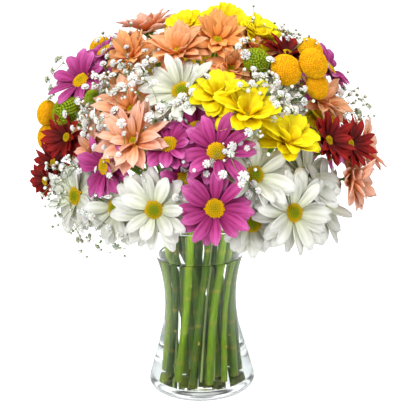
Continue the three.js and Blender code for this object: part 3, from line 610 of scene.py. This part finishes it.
occupied = {head.serial: [ball_points(head)] for head in heads}
bloom = {}
for head in sorted(heads, key=lambda h: -(h.centre - HEART).length):
    if head.kind not in DAISIES:
        continue
    shape = DAISIES.get(head.node, DAISIES[head.kind])
    near = [
        spots for other in heads if other is not head
        and (other.centre - head.centre).length < other.radius + head.radius + 0.012
        for spots in occupied[other.serial]
    ]
    near = np.concatenate(near)
    copies = []
    for layer, (count, *_) in enumerate(shape["layers"]):
        for index in range(count):
            best = None
            for shorter, swing in GIVES:
                corners = petal_corners(head, shape, layer, index, swing, shorter)
                gaps = np.linalg.norm(corners[PROBES][:, None] - near[None], axis=2)
                crossed = int((gaps < PETAL_GAP).sum())
                if best is None or crossed < best[0]:
                    best = (crossed, corners)
                if crossed == 0:
                    break
            tone = 0.5 + 0.5 * draw(head.serial, index + 60 * layer)
            marks = {"along": T, "across": S, "tone": tone, "blush": head.blush}
            copies.append((petal, best[1], marks))
            occupied[head.serial].append(best[1][PROBES])
    bloom[head.serial] = copies

# Petal colours run from the root to the tip, with fine veining, and painted shade in the grooves between the
# ridges.
veining_and_grooves = bpy.data.node_groups.new("petal_veins_and_groove_shade", "ShaderNodeTree")
for label, default in (("Across", 0.0), ("Along", 0.0), ("Lines", 4.0), ("Depth", 0.5)):
    veining_and_grooves.interface.new_socket(label, in_out="INPUT", socket_type="NodeSocketFloat").default_value = default
for label in ("Mask", "Groove"):
    veining_and_grooves.interface.new_socket(label, in_out="OUTPUT", socket_type="NodeSocketFloat")
given, result = veining_and_grooves.nodes.new("NodeGroupInput"), veining_and_grooves.nodes.new("NodeGroupOutput")
across, along, lines, depth = (given.outputs[label] for label in ("Across", "Along", "Lines", "Depth"))
line = add(veining_and_grooves, "CombineXYZ", X=times(veining_and_grooves, across, lines), Y=along)
fibres = add(veining_and_grooves, "TexNoise", Vector=line, Scale=1.6, Detail=3.0, Roughness=0.6)
wave = add(veining_and_grooves, "Math", operation="COSINE", _0=times(veining_and_grooves, across, 2 * pi))
groove_shade = times(veining_and_grooves, ranged(veining_and_grooves, wave, 0.4, -1.0), ranged(veining_and_grooves, along, 1.0, 0.55))
fill(veining_and_grooves, result, Mask=times(veining_and_grooves, ranged(veining_and_grooves, fibres, 0.48, 0.72), depth), Groove=groove_shade)


def petal_finish(name, colours, vein_and_shade_colour, lines, depth, warm):
    """Soft petal skin. Its colours are (share of the length, colour) from root to tip. warm is the tint
    of the heads of this kind that have most blush."""
    material, tree, surface = tree_of(name)
    along = mark(tree, "along")
    gradient = add(tree, "ValToRGB", Fac=along)
    ramp = gradient.color_ramp
    ramp.elements.remove(ramp.elements[1])
    for i, (spot, colour) in enumerate(colours):
        stop = ramp.elements[0] if i == 0 else ramp.elements.new(spot)
        stop.position = spot
        stop.color = (*colour, 1)
    mask = add(tree, "Group", node_tree=veining_and_grooves, Across=mark(tree, "across"), Along=along, Lines=lines,
               Depth=depth)
    warmer = mixed(tree, mark(tree, "blush"), (1, 1, 1, 1), (*warm, 1))
    tinted = mixed(tree, 1.0, gradient, warmer, blend_type="MULTIPLY")
    # Painted shade: the grooves between the ridges are darkened, most near the root, on top of the real
    # veining.
    veins_and_groove_shade = add(tree, "Math", operation="MULTIPLY_ADD", _0=mask.outputs["Groove"], _1=0.45,
                _2=mask.outputs["Mask"], use_clamp=True)
    veined_and_shaded = mixed(tree, veins_and_groove_shade, tinted, (*vein_and_shade_colour, 1))
    lightness = ranged(tree, mark(tree, "tone"), low=0.84, high=1.08)
    toned = add(tree, "HueSaturation", Color=veined_and_shaded, Value=lightness)
    fill(tree, surface, Base_Color=toned, Roughness=0.6, Specular_IOR_Level=0.22, Subsurface_Weight=0.3,
         Subsurface_Radius=(1, 0.9, 0.8), Subsurface_Scale=0.0015)
    bumpy(tree, surface, veins_and_groove_shade, 0.5, 0.0005, invert=True)
    return material


PETALS = {
    "white": petal_finish("white_petal", [(0, (0.54, 0.58, 0.26)), (0.3, (0.72, 0.74, 0.58)),
                                          (0.65, (0.8, 0.8, 0.73)), (1, (0.84, 0.84, 0.8))],
                          (0.5, 0.52, 0.38), 5.0, 0.6, (1, 0.99, 0.93)),
    "magenta": petal_finish("magenta_petal", [(0, (0.22, 0.006, 0.07)), (0.35, (0.44, 0.03, 0.2)),
                                              (0.8, (0.6, 0.085, 0.34)), (1, (0.74, 0.2, 0.5))],
                            (0.22, 0.005, 0.08), 6.0, 0.75, (1, 1.3, 1.15)),
    "peach": petal_finish("peach_petal", [(0, (0.86, 0.28, 0.015)), (0.35, (0.9, 0.41, 0.19)),
                                          (0.75, (0.92, 0.5, 0.36)), (1, (0.94, 0.58, 0.48))],
                          (0.78, 0.25, 0.1), 6.0, 0.6, (1, 0.78, 0.27)),
    "yellow": petal_finish("yellow_petal", [(0, (0.95, 0.5, 0.0)), (0.3, (1, 0.76, 0.0)),
                                            (1, (1, 0.88, 0.006))],
                           (0.95, 0.6, 0.0), 5.0, 0.5, (1, 1, 1)),
    "red": petal_finish("red_petal", [(0, (0.09, 0.004, 0.001)), (0.3, (0.18, 0.003, 0.002)),
                                      (1, (0.42, 0.01, 0.007))],
                        (0.03, 0.001, 0.001), 6.0, 0.7, (1, 1, 1)),
}
flowers = []
for node in dict.fromkeys(head.node for head in heads if head.kind in DAISIES):
    own = [head for head in heads if head.node == node]
    copies = [copy for head in own for copy in bloom[head.serial]]
    piece = joined(node.replace("dais", "petals_of_dais"), copies, PETALS[own[0].kind])
    flowers.append(piece)
    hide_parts(node)

# ---- Discs of the daisies ----
# The golden eye of each daisy: a low dome packed with tiny tubular florets in spirals, greener and
# tighter in the middle, open and dusty with pollen round the edge.
GOLDEN = radians(137.508)
floret_bm = bmesh.new()
bmesh.ops.create_cone(floret_bm, cap_ends=True, segments=5, radius1=0.8, radius2=1, depth=2)
top = [f for f in floret_bm.faces if f.normal.z > 0.9]
bmesh.ops.inset_region(floret_bm, faces=top, thickness=0.45, depth=-0.5)
floret = blank_of(floret_bm)
dome_bm = bmesh.new()
bmesh.ops.create_uvsphere(dome_bm, u_segments=16, v_segments=8, radius=1)
dome = blank_of(dome_bm)


def laid(corners, spot, normal, spin=0.0):
    """Corners turned so that z points along the normal, and moved to the spot."""
    facing = Vector(normal).to_track_quat("Z", "Y").to_matrix()
    turn = (facing @ Matrix.Rotation(spin, 3, "Z")).transposed()
    return corners @ np.array(turn) + np.array(spot)


disc_gold, tree, surface = tree_of("disc_florets")
ring = mark(tree, "along")
ramp = add(tree, "ValToRGB", Fac=ring)
ramp.color_ramp.elements[0].color = (0.56, 0.4, 0.002, 1)
ramp.color_ramp.elements[1].color = (0.85, 0.46, 0.001, 1)
greener = times(tree, ranged(tree, ring, 0.3, 0.95, 1.0, 0.1), mark(tree, "tone"))
green_eye = mixed(tree, greener, ramp, (0.2, 0.3, 0.003, 1))
# Painted shade: the florets darken down their tubes, and the dome under them is dark, where shade falls
# between them.
floret_shade = ranged(tree, mark(tree, "across"), low=0.5, high=1.2)
shaded = add(tree, "HueSaturation", Color=green_eye, Value=floret_shade)
fill(tree, surface, Base_Color=shaded, Roughness=0.7, Specular_IOR_Level=0.15)
pollen = add(tree, "TexNoise", Vector=add(tree, "TexCoord").outputs["Object"], Scale=2500.0)
bumpy(tree, surface, pollen, 0.3, 0.0003)

DISC_FLORETS = 84
GREENNESS = {"white": 0.85, "magenta": 0.15, "peach": 0.5, "yellow": 0.3, "red": 0.4}
for node in dict.fromkeys(head.node for head in heads if head.kind in DAISIES):
    copies = []
    for head in [head for head in heads if head.node == node]:
        across = DAISIES[head.kind]["disc"] * MM * (0.93 if head.kind in ("white", "magenta") else 0.8)
        tall = across * 0.42
        green = GREENNESS[head.kind]
        corners = dome[1] * np.array([across * 0.96, across * 0.96, tall]) + np.array([0, 0, 0.0002])
        copies.append((dome, corners @ head.axes() + np.array(head.centre), {"across": 0.1, "tone": green}))
        for k in range(DISC_FLORETS):
            share = sqrt((k + 0.5) / DISC_FLORETS)
            angle = k * GOLDEN
            height = tall * sqrt(1 - 0.92 * share**2)
            spot = head.point(angle, across * share, height + 0.0002)
            normal = (spot - head.centre + head.out * across * 0.6).normalized()
            size = across / sqrt(DISC_FLORETS) * (0.6 + 0.5 * share)
            tube = floret[1] * np.array([size, size, size * (0.8 + 0.5 * share)])
            marks = {"along": share, "across": floret[1][:, 2] / 2 + 0.5, "tone": green}
            copies.append((floret, laid(tube, spot, normal, angle), marks))
    piece = joined(node.replace("dais", "discs_of_dais"), copies, disc_gold)
    flowers.append(piece)

# ---- Buttons ----
# Button heads: a flattened ball of hundreds of tight tubular florets with open ends, in spirals, on a solid
# core. A row has the bright colour, the painted shade colour, the slot and the number of florets.
BUTTONS = {
    "button": ((1, 0.56, 0.003), (0.86, 0.36, 0.0), "yellow_button", 420),
    "green": ((0.34, 0.44, 0.01), (0.1, 0.17, 0.004), "green_button", 240),
}
finishes = {}
for kind, (bright, shade_colour, slot, count) in BUTTONS.items():
    material, tree, surface = tree_of(slot + "_florets")
    # Painted shade: each floret runs from the shade colour deep down its tube to the bright colour at its
    # open end, and the core is all shade colour.
    depth = mixed(tree, mark(tree, "across"), (*shade_colour, 1), (*bright, 1))
    lightness = ranged(tree, mark(tree, "tone"), low=0.8, high=1.12)
    toned = add(tree, "HueSaturation", Color=depth, Value=lightness)
    fill(tree, surface, Base_Color=toned, Roughness=0.6, Specular_IOR_Level=0.15, Subsurface_Weight=0.15,
         Subsurface_Scale=0.001)
    finishes[kind] = material
for node in dict.fromkeys(head.node for head in heads if head.kind in BUTTONS):
    copies = []
    own = [head for head in heads if head.node == node]
    _, _, slot, count = BUTTONS[own[0].kind]
    for head in own:
        size = head.radius
        middle = head.centre + head.out * size * 0.42
        corners = dome[1] * np.array([size * 0.93, size * 0.93, size * 0.67])
        copies.append((dome, corners @ head.axes() + np.array(middle), {"across": 0.0, "tone": 0.3}))
        for k in range(count):
            level = 1 - 1.62 * (k + 0.5) / count
            flat = sqrt(1 - level * level)
            around = head.right * cos(k * GOLDEN) + head.up * sin(k * GOLDEN)
            spot = middle + around * flat * size * 0.95 + head.out * level * size * 0.69
            normal = (around * flat * 0.8 + head.out * level).normalized()
            wide = size * (1.28 + 0.1 * draw(head.serial, k)) / sqrt(count)
            corners = laid(floret[1] * np.array([wide, wide, wide * 0.9]), spot, normal, k)
            tone = 0.5 + 0.5 * draw(head.serial, k + 300)
            marks = {"along": level, "across": floret[1][:, 2] / 2 + 0.5, "tone": tone}
            copies.append((floret, corners, marks))
    piece = joined(node.replace("button", "florets_of_button"), copies, finishes[own[0].kind])
    flowers.append(piece)
    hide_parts(node)

# ---- Baby's breath ----
# Fine sprays that rise between the flowers. Every twig of the plain umbels ends in a double blossom, like a
# tiny ruff, and forks into twiglets with more blossoms and round buds.
BREATH = {
    "babys_breath_left": (-75, [(-84, 40), (-74, 2)]),
    "babys_breath_upper_left": (-45, [(-42, 50), (-56, 30)]),
    "babys_breath_upper_right": (45, [(40, 46), (50, 64)]),
    "babys_breath_right": (75, [(86, 30), (84, 52)]),
    "babys_breath_front": (15, [(2, 14), (-12, 36)]),
    "babys_breath_back": (195, [(190, 20), (140, 44)]),
}
# Blossoms, and buds where they are under LEAST_BLOSSOM, that the picture shows before the flowers: the
# pixel across and down, and the size in millimetres.
LEAST_BLOSSOM = 2.5
SEEN = [
    (56, 59, 4), (60, 57, 3), (51, 70, 4), (46, 79, 4), (49, 87, 5), (49, 97, 4), (112, 43, 5),
    (126, 46, 3), (128, 55, 3), (103, 50, 4), (106, 56, 3), (112, 63, 4), (121, 65, 5), (124, 71, 3),
    (103, 82, 4), (103, 92, 4), (121, 86, 6), (112, 91, 5), (98, 100, 3), (113, 109, 5), (104, 117, 5),
    (101, 126, 3), (121, 123, 5), (123, 133, 3), (82, 121, 4), (84, 128, 4), (88, 136, 3), (87, 104, 3),
    (94, 147, 4), (104, 147, 3), (118, 154, 3), (109, 175, 3), (104, 162, 1.2), (108, 157, 1.2),
    (138, 71, 4), (145, 75, 4), (132, 77, 5), (137, 80, 3.5), (148, 84, 3), (130, 84, 3), (155, 82, 4),
    (154, 51, 4), (159, 50, 2), (161, 107, 5.5), (148, 116, 5.5), (147, 101, 2), (181, 97, 6),
    (175, 102, 4), (187, 104, 4), (182, 108, 3), (192, 91, 4), (189, 85, 3), (180, 120, 2.5), (185, 121, 3),
    (170, 103, 3), (184, 169, 3.5), (184, 162, 2), (194, 170, 2), (207, 164, 4), (211, 163, 4),
    (206, 174, 3.5), (223, 144, 1.2), (225, 151, 3), (233, 147, 5), (231, 153, 4), (241, 143, 3),
    (247, 148, 3), (224, 161, 1.5), (222, 174, 4.5), (249, 161, 3), (255, 170, 2), (244, 177, 6),
    (241, 184, 3.5), (254, 184, 4), (250, 194, 4.5), (259, 190, 3.5), (257, 197, 3), (175, 197, 4),
    (179, 198, 3), (246, 54, 5.5), (254, 68, 3.5), (258, 76, 4.5), (255, 73, 3), (247, 91, 2.5),
    (240, 84, 3), (236, 46, 2), (277, 77, 4.5), (288, 89, 4.5), (293, 94, 4.5), (299, 105, 6), (275, 91, 3),
    (273, 98, 4), (277, 104, 4), (281, 114, 3.5), (274, 119, 3.5), (249, 132, 4.5), (256, 86, 2),
    (260, 94, 2), (284, 99, 3), (287, 106, 2.5), (285, 112, 2), (265, 84, 3), (297, 84, 2.5), (345, 117, 5),
    (361, 118, 5), (343, 88, 2), (354, 91, 1.3), (358, 88, 1.3), (338, 90, 1.3), (349, 95, 2.5),
    (365, 97, 2.3), (370, 106, 2.8), (374, 116, 1.4), (353, 103, 2), (357, 110, 1.5), (367, 104, 1.3),
    (252, 22, 1.5), (264, 25, 1.3), (278, 29, 1.7), (284, 30, 1.4), (288, 30, 1), (285, 33, 1),
    (282, 27, 1), (299, 43, 2.4), (300, 38, 1.1), (302, 41, 1.1), (306, 40, 1.1), (309, 36, 1.3),
    (316, 44, 1.3), (288, 38, 3), (283, 36, 2), (54, 168, 4), (58, 164, 3), (55, 178, 3.5), (52, 184, 3),
    (83, 212, 5), (73, 219, 3.5), (91, 216, 4), (90, 224, 4.5), (84, 221, 3), (108, 228, 3.5),
    (119, 236, 4), (77, 240, 3.5), (97, 247, 3.3), (81, 251, 2.5), (116, 247, 4), (76, 229, 1.2),
    (89, 241, 2), (86, 228, 3), (101, 250, 1.8), (89, 236, 3), (62, 168, 1.3), (66, 166, 1.5),
    (70, 170, 1.3), (75, 168, 1.5), (60, 174, 1.3), (65, 173, 1.3), (78, 166, 1.3), (62, 180, 1.2),
    (61, 186, 1.2), (61, 193, 1.4), (59, 200, 1.4), (62, 197, 1.2), (58, 204, 1.3), (66, 192, 1.3),
    (70, 203, 1.2), (71, 210, 1.3), (80, 175, 1.3), (92, 200, 4), (78, 212, 3), (141, 171, 1.3),
    (142, 175, 1.3), (145, 180, 1.2), (122, 183, 1.2),
]

ruff_bm = bmesh.new()
for petals, lean, reach in ((5, 74, 1.0), (4, 42, 0.95), (2, 14, 0.85)):
    for k in range(petals):
        leant = Matrix.Rotation(2 * pi * k / petals + lean, 4, "Z") @ Matrix.Rotation(radians(lean), 4, "Y")
        blade = Matrix.Diagonal((0.3, 1, 1, 1)) @ Matrix.Rotation(pi / 4, 4, "Z")
        bmesh.ops.create_cone(
            ruff_bm, cap_ends=True, segments=4, radius1=0, radius2=0.62, depth=reach,
            matrix=leant @ blade @ Matrix.Translation((0, 0, reach / 2)),
        )
bmesh.ops.create_cone(
    ruff_bm, cap_ends=True, segments=5, radius1=0.1, radius2=0.42, depth=0.5,
    matrix=Matrix.Translation((0, 0, -0.2)),
)
ruff = blank_of(ruff_bm)
bud_bm = bmesh.new()
egg = Matrix.Diagonal((1, 1, 1.25, 1))
bmesh.ops.create_uvsphere(bud_bm, u_segments=7, v_segments=5, radius=1, matrix=egg)
bud = blank_of(bud_bm)
breath_rod = rod_blank(8, 72)
twig_rod = rod_blank(5, 7)
twiglet_rod = rod_blank(4, 6)

lace, tree, surface = tree_of("babys_breath")
ramp = add(tree, "ValToRGB", Fac=mark(tree, "along"))
ramp.color_ramp.elements[0].color = (0.3, 0.38, 0.12, 1)
ramp.color_ramp.elements[0].position = 0.2
ramp.color_ramp.elements[1].color = (0.95, 0.95, 0.91, 1)
ramp.color_ramp.elements[1].position = 0.8
ramp.color_ramp.elements.new(0.5).color = (0.6, 0.64, 0.52, 1)
twig_green = mixed(tree, mark(tree, "tone"), (0.09, 0.14, 0.03, 1), (0.32, 0.4, 0.13, 1))
parts = mixed(tree, mark(tree, "across"), ramp, twig_green)
fill(tree, surface, Base_Color=parts, Roughness=0.6, Subsurface_Weight=0.25, Subsurface_Scale=0.001)
crisp = add(tree, "TexNoise", Vector=add(tree, "TexCoord").outputs["Object"], Scale=900.0)
bumpy(tree, surface, crisp, 0.4, 0.0004)

crowd_bm = bmesh.new()
for piece in flowers:
    crowd_bm.from_mesh(piece.data)
crowd = BVHTree.FromBMesh(crowd_bm)
crowd_bm.free()


def plain_tips(node):
    """The tips of the plain twigs of a node, four-sided points, and the way that each points."""
    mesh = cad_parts[node].data
    places = {}
    index = [places.setdefault(tuple(np.round(v.co, 6)), len(places)) for v in mesh.vertices]
    corners = [Vector(place) for place in places]
    joins = {k: set() for k in range(len(corners))}
    for edge in mesh.edges:
        a, b = index[edge.vertices[0]], index[edge.vertices[1]]
        if a != b:
            joins[a].add(b)
            joins[b].add(a)
    tips = []
    for k, others in joins.items():
        spans = [(corners[k] - corners[other]).length / MM for other in others]
        if len(others) == 4 and 5.6 < min(spans) and max(spans) < 7.2:
            back = sum((corners[other] for other in others), Vector()) / 4
            tips.append((corners[k], (corners[k] - back).normalized()))
    return tips


def meeting(lines):
    """The point nearest to all of these lines: where the twigs of an umbel part."""
    sides = [np.eye(3) - np.outer(way, way) for _, way in lines]
    pulls = [side @ np.array(tip) for side, (tip, _) in zip(sides, lines)]
    return Vector(np.linalg.solve(sum(sides), sum(pulls)))


def outward(spot):
    return (spot - HEART).normalized()


def sight(x, y):
    """The way from the camera through a pixel of the picture."""
    return (right * (x - PICTURE / 2) - upward * (y - PICTURE / 2) + forward * FOCAL).normalized()


def cuts(path):
    """How often a twig on this path would cut through a petal."""
    hits = [crowd.ray_cast(a, (b - a).normalized(), (b - a).length)[0] for a, b in zip(path, path[1:])]
    return sum(hit is not None for hit in hits)


grown = {node: [] for node in BREATH}
forks, taken = [], []


def flower_at(node, spot, way, size, serial):
    """A blossom or a bud, with its underside at the spot. One that stands clear of the dome gets painted
    grey shade.
    """
    tone = 0.5 + 0.5 * draw(serial, 2)
    alone = crowd.ray_cast(spot, forward)[0] is None
    if size >= LEAST_BLOSSOM:
        squat = 0.85 + 0.2 * draw(serial, 3)
        corners = laid(ruff[1] * np.array([1, 1, squat]) * size * MM, spot, way, serial)
        # Painted shade: a blossom that stands clear of the dome keeps the grey-green of the ramp's middle
        # all over.
        marks = np.clip(np.linalg.norm(ruff[1], axis=1) * 0.95, 0, 0.47 if alone else 1)
        green = ruff[1][:, 2] < -0.02
        grown[node].append((ruff, corners, {"along": marks, "across": green, "tone": tone * 0.6}))
    else:
        corners = laid((bud[1] + np.array([0, 0, 1.1])) * size * MM, spot, way, serial)
        green = np.clip(0.75 - 0.9 * bud[1][:, 2] - 0.4 * (size - 1), 0, 1)
        grown[node].append((bud, corners, {"along": 0.75, "across": green, "tone": tone * 0.5}))
    taken.append((spot + way * size * 0.5 * MM, size * MM))


def twig_path(start, way, spot, arrive):
    span = (spot - start).length
    return bezier((start, start + way * span * 0.35, spot - arrive * span * 0.4, spot), 8)


def twiglet(node, start, way, spot, arrive, rod, thick):
    """A thin twig to the spot, and two places on it from which more can fork."""
    path = twig_path(start, way, spot, arrive)
    corners = bent(rod, path, lambda s: thick * (1 - 0.35 * s) * MM)
    grown[node].append((rod, corners, {"across": 1.0, "tone": 0.55 + 0.4 * draw(len(taken), 8)}))
    for share in (0.55, 0.8):
        forks.append((path[round(share * 7)], (path[-1] - path[3]).normalized(), node))
    return path


def free(spot, size):
    """True if a blossom of this size would touch no petal and no other blossom."""
    near = crowd.find_nearest(spot)[3]
    return near > (size + 1) * MM and all((spot - other).length > size * MM + wide for other, wide in taken)


for i, (node, (waist, umbels)) in enumerate(BREATH.items()):
    guesses = [HEART + towards(*umbel) * 0.108 for umbel in umbels]
    groups = [[], []]
    for tip, way in plain_tips(node):
        misses = [(guess - tip).cross(way).length for guess in guesses]
        groups[misses.index(min(misses))].append((tip, way))
    centres = [meeting(group) if len(group) > 1 else guess for group, guess in zip(groups, guesses)]
    main = stem_line("breath", waist, centres[0])
    away = [sum((b - a).length for a, b in zip(main[k:], main[k + 1:])) for k in range(len(main))]
    start = next(spot for spot, left in zip(main, away) if left < 0.045)
    elbow = start.lerp(centres[1], 0.5)
    side = through([start, elbow - outward(elbow) * 0.005, centres[1]], 8)
    for path in (main, side):
        corners = bent(breath_rod, path, lambda s: (1.1 - 0.25 * s) * MM)
        grown[node].append((breath_rod, corners, {"across": 1.0, "tone": 0.75}))
    for group, centre in zip(groups, centres):
        for k, (tip, way) in enumerate(group):
            serial = 900 + 100 * i + 40 * groups.index(group) + k
            size = 3.9 + 0.5 * draw(serial, 1)
            twiglet(node, centre, outward(centre), tip - way * size * 0.8 * MM, way, twig_rod, 0.55)
            flower_at(node, tip - way * size * 0.8 * MM, way, size, serial)

# The ones in the picture, each from the fork from which its twiglet cuts through the fewest petals. They
# stand before the petals, or a little behind the front of the dome.
DOME = 0.145
for k, (x, y, size) in enumerate(SEEN):
    eye, ray = camera.matrix_world.translation, sight(x, y)
    level_with = (HEART - eye).dot(ray)
    apart = (HEART - eye - ray * level_with).length
    hit = crowd.ray_cast(eye, ray)[3] or 9
    front = level_with - sqrt(max(DOME**2 - apart**2, 0))
    spot = eye + ray * (min(hit, front + 0.012) - (size + 1.5) * MM)
    arrive = (outward(spot) + Vector([0.5 * draw(k, c) for c in (11, 12, 13)]) - ray * 0.3).normalized()
    best = None
    for start, way, node in sorted(forks, key=lambda fork: (fork[0] - spot).length)[:7]:
        cost = cuts(twig_path(start, way, spot, arrive)) * 0.02 + (spot - start).length
        if best is None or cost < best[0]:
            best = (cost, start, way, node)
    cost, start, way, node = best
    base = spot - arrive * size * 0.5 * MM
    twiglet(node, start, way, base, arrive, twiglet_rod, 0.36)
    flower_at(node, base, arrive, size * 0.93, 3000 + k)

# More of them all round, but none before a flower that the picture shows without them. The far side, which
# the picture doesn't show, gets a second generation on longer twiglets. All of them stay within FARTHEST of
# the heart, and above LOWEST.
FARTHEST, LOWEST = 0.172, 0.17
SIZES = (3.6, 1.7, 3.2, 1.5)
for generation, reach in enumerate((0.011, 0.019)):
    for k, (start, way, node) in enumerate(forks[:]):
        facing = outward(start).dot(-forward)
        if generation and facing > -0.25:
            continue
        for j in range(3 if facing < -0.3 else 2):
            for attempt in range(6):
                serial = 4000 + 40 * k + 8 * j + attempt + 50000 * generation
                aside = Vector([draw(serial, c) for c in (4, 5, 6)]).normalized()
                lean = way * 0.9 + aside * 0.9 + outward(start) * 0.5
                spot = start + lean * (reach + 0.004 * draw(serial, 7))
                behind = crowd.ray_cast(spot, forward)[3]
                usual = 1.5 if behind is None and facing >= -0.3 else SIZES[(k + j) % 4]
                size = usual + 0.3 * draw(serial, 1)
                arrive = (spot - start + aside * 0.004).normalized()
                seen = facing > 0 and behind is not None and behind < 0.035
                sparse = behind is None and facing > -0.3 and (k + j) % 3
                within = (spot - HEART).length < FARTHEST and spot.z > LOWEST
                if not seen and not sparse and within and free(spot, size):
                    twiglet(node, start, way, spot, arrive, twiglet_rod, 0.32)
                    flower_at(node, spot, arrive, size, serial)
                    break

for node, copies in grown.items():
    piece = joined(node.replace("babys_breath", "breath_spray"), copies, lace)
    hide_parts(node)

# ---- The floor and the lights ----
# A white table top under soft studio light from above and both sides. It glows a little for the camera,
# also through the glass, so that it is as white as the background.
floor_bm = bmesh.new()
bmesh.ops.create_grid(floor_bm, x_segments=1, y_segments=1, size=12)
floor = linked("white_floor", mesh_of("white_floor", floor_bm))
pale, tree, surface = tree_of("white_table")
path = add(tree, "LightPath").outputs
direct = add(tree, "Math", operation="MAXIMUM", _0=path["Is Camera Ray"], _1=path["Transmission Depth"])
fill(tree, surface, Base_Color=(0.93, 0.93, 0.93, 1), Roughness=0.9, Specular_IOR_Level=0.0,
     Emission_Color=(1, 1, 1, 1), Emission_Strength=ranged(tree, direct, low=0.1, high=0.75))
floor.data.materials.append(pale)

world = bpy.data.worlds.new("studio")
world.use_nodes = True
tree = world.node_tree
through_glass = add(tree, "LightPath").outputs["Transmission Depth"]
fill(tree, tree.nodes["Background"], Color=(0.96, 0.98, 1, 1),
     Strength=ranged(tree, through_glass, low=0.3, high=1.0))
bpy.context.scene.world = world

for name, spot, size, power in (
    ("front_left", (-1.1, -1.9, 1.7), 0.9, 42),
    ("front_right", (1.5, -1.6, 1.0), 1.2, 14),
    ("overhead", (0.2, -0.1, 2.2), 1.0, 26),
):
    lamp = bpy.data.lights.new(name, "AREA")
    lamp.size = size
    lamp.energy = power
    holder = linked(name, lamp)
    holder.location = spot
    holder.rotation_euler = (Vector(spot) - HEART).to_track_quat("Z", "Y").to_euler()

bpy.context.scene.view_settings.view_transform = "Standard"
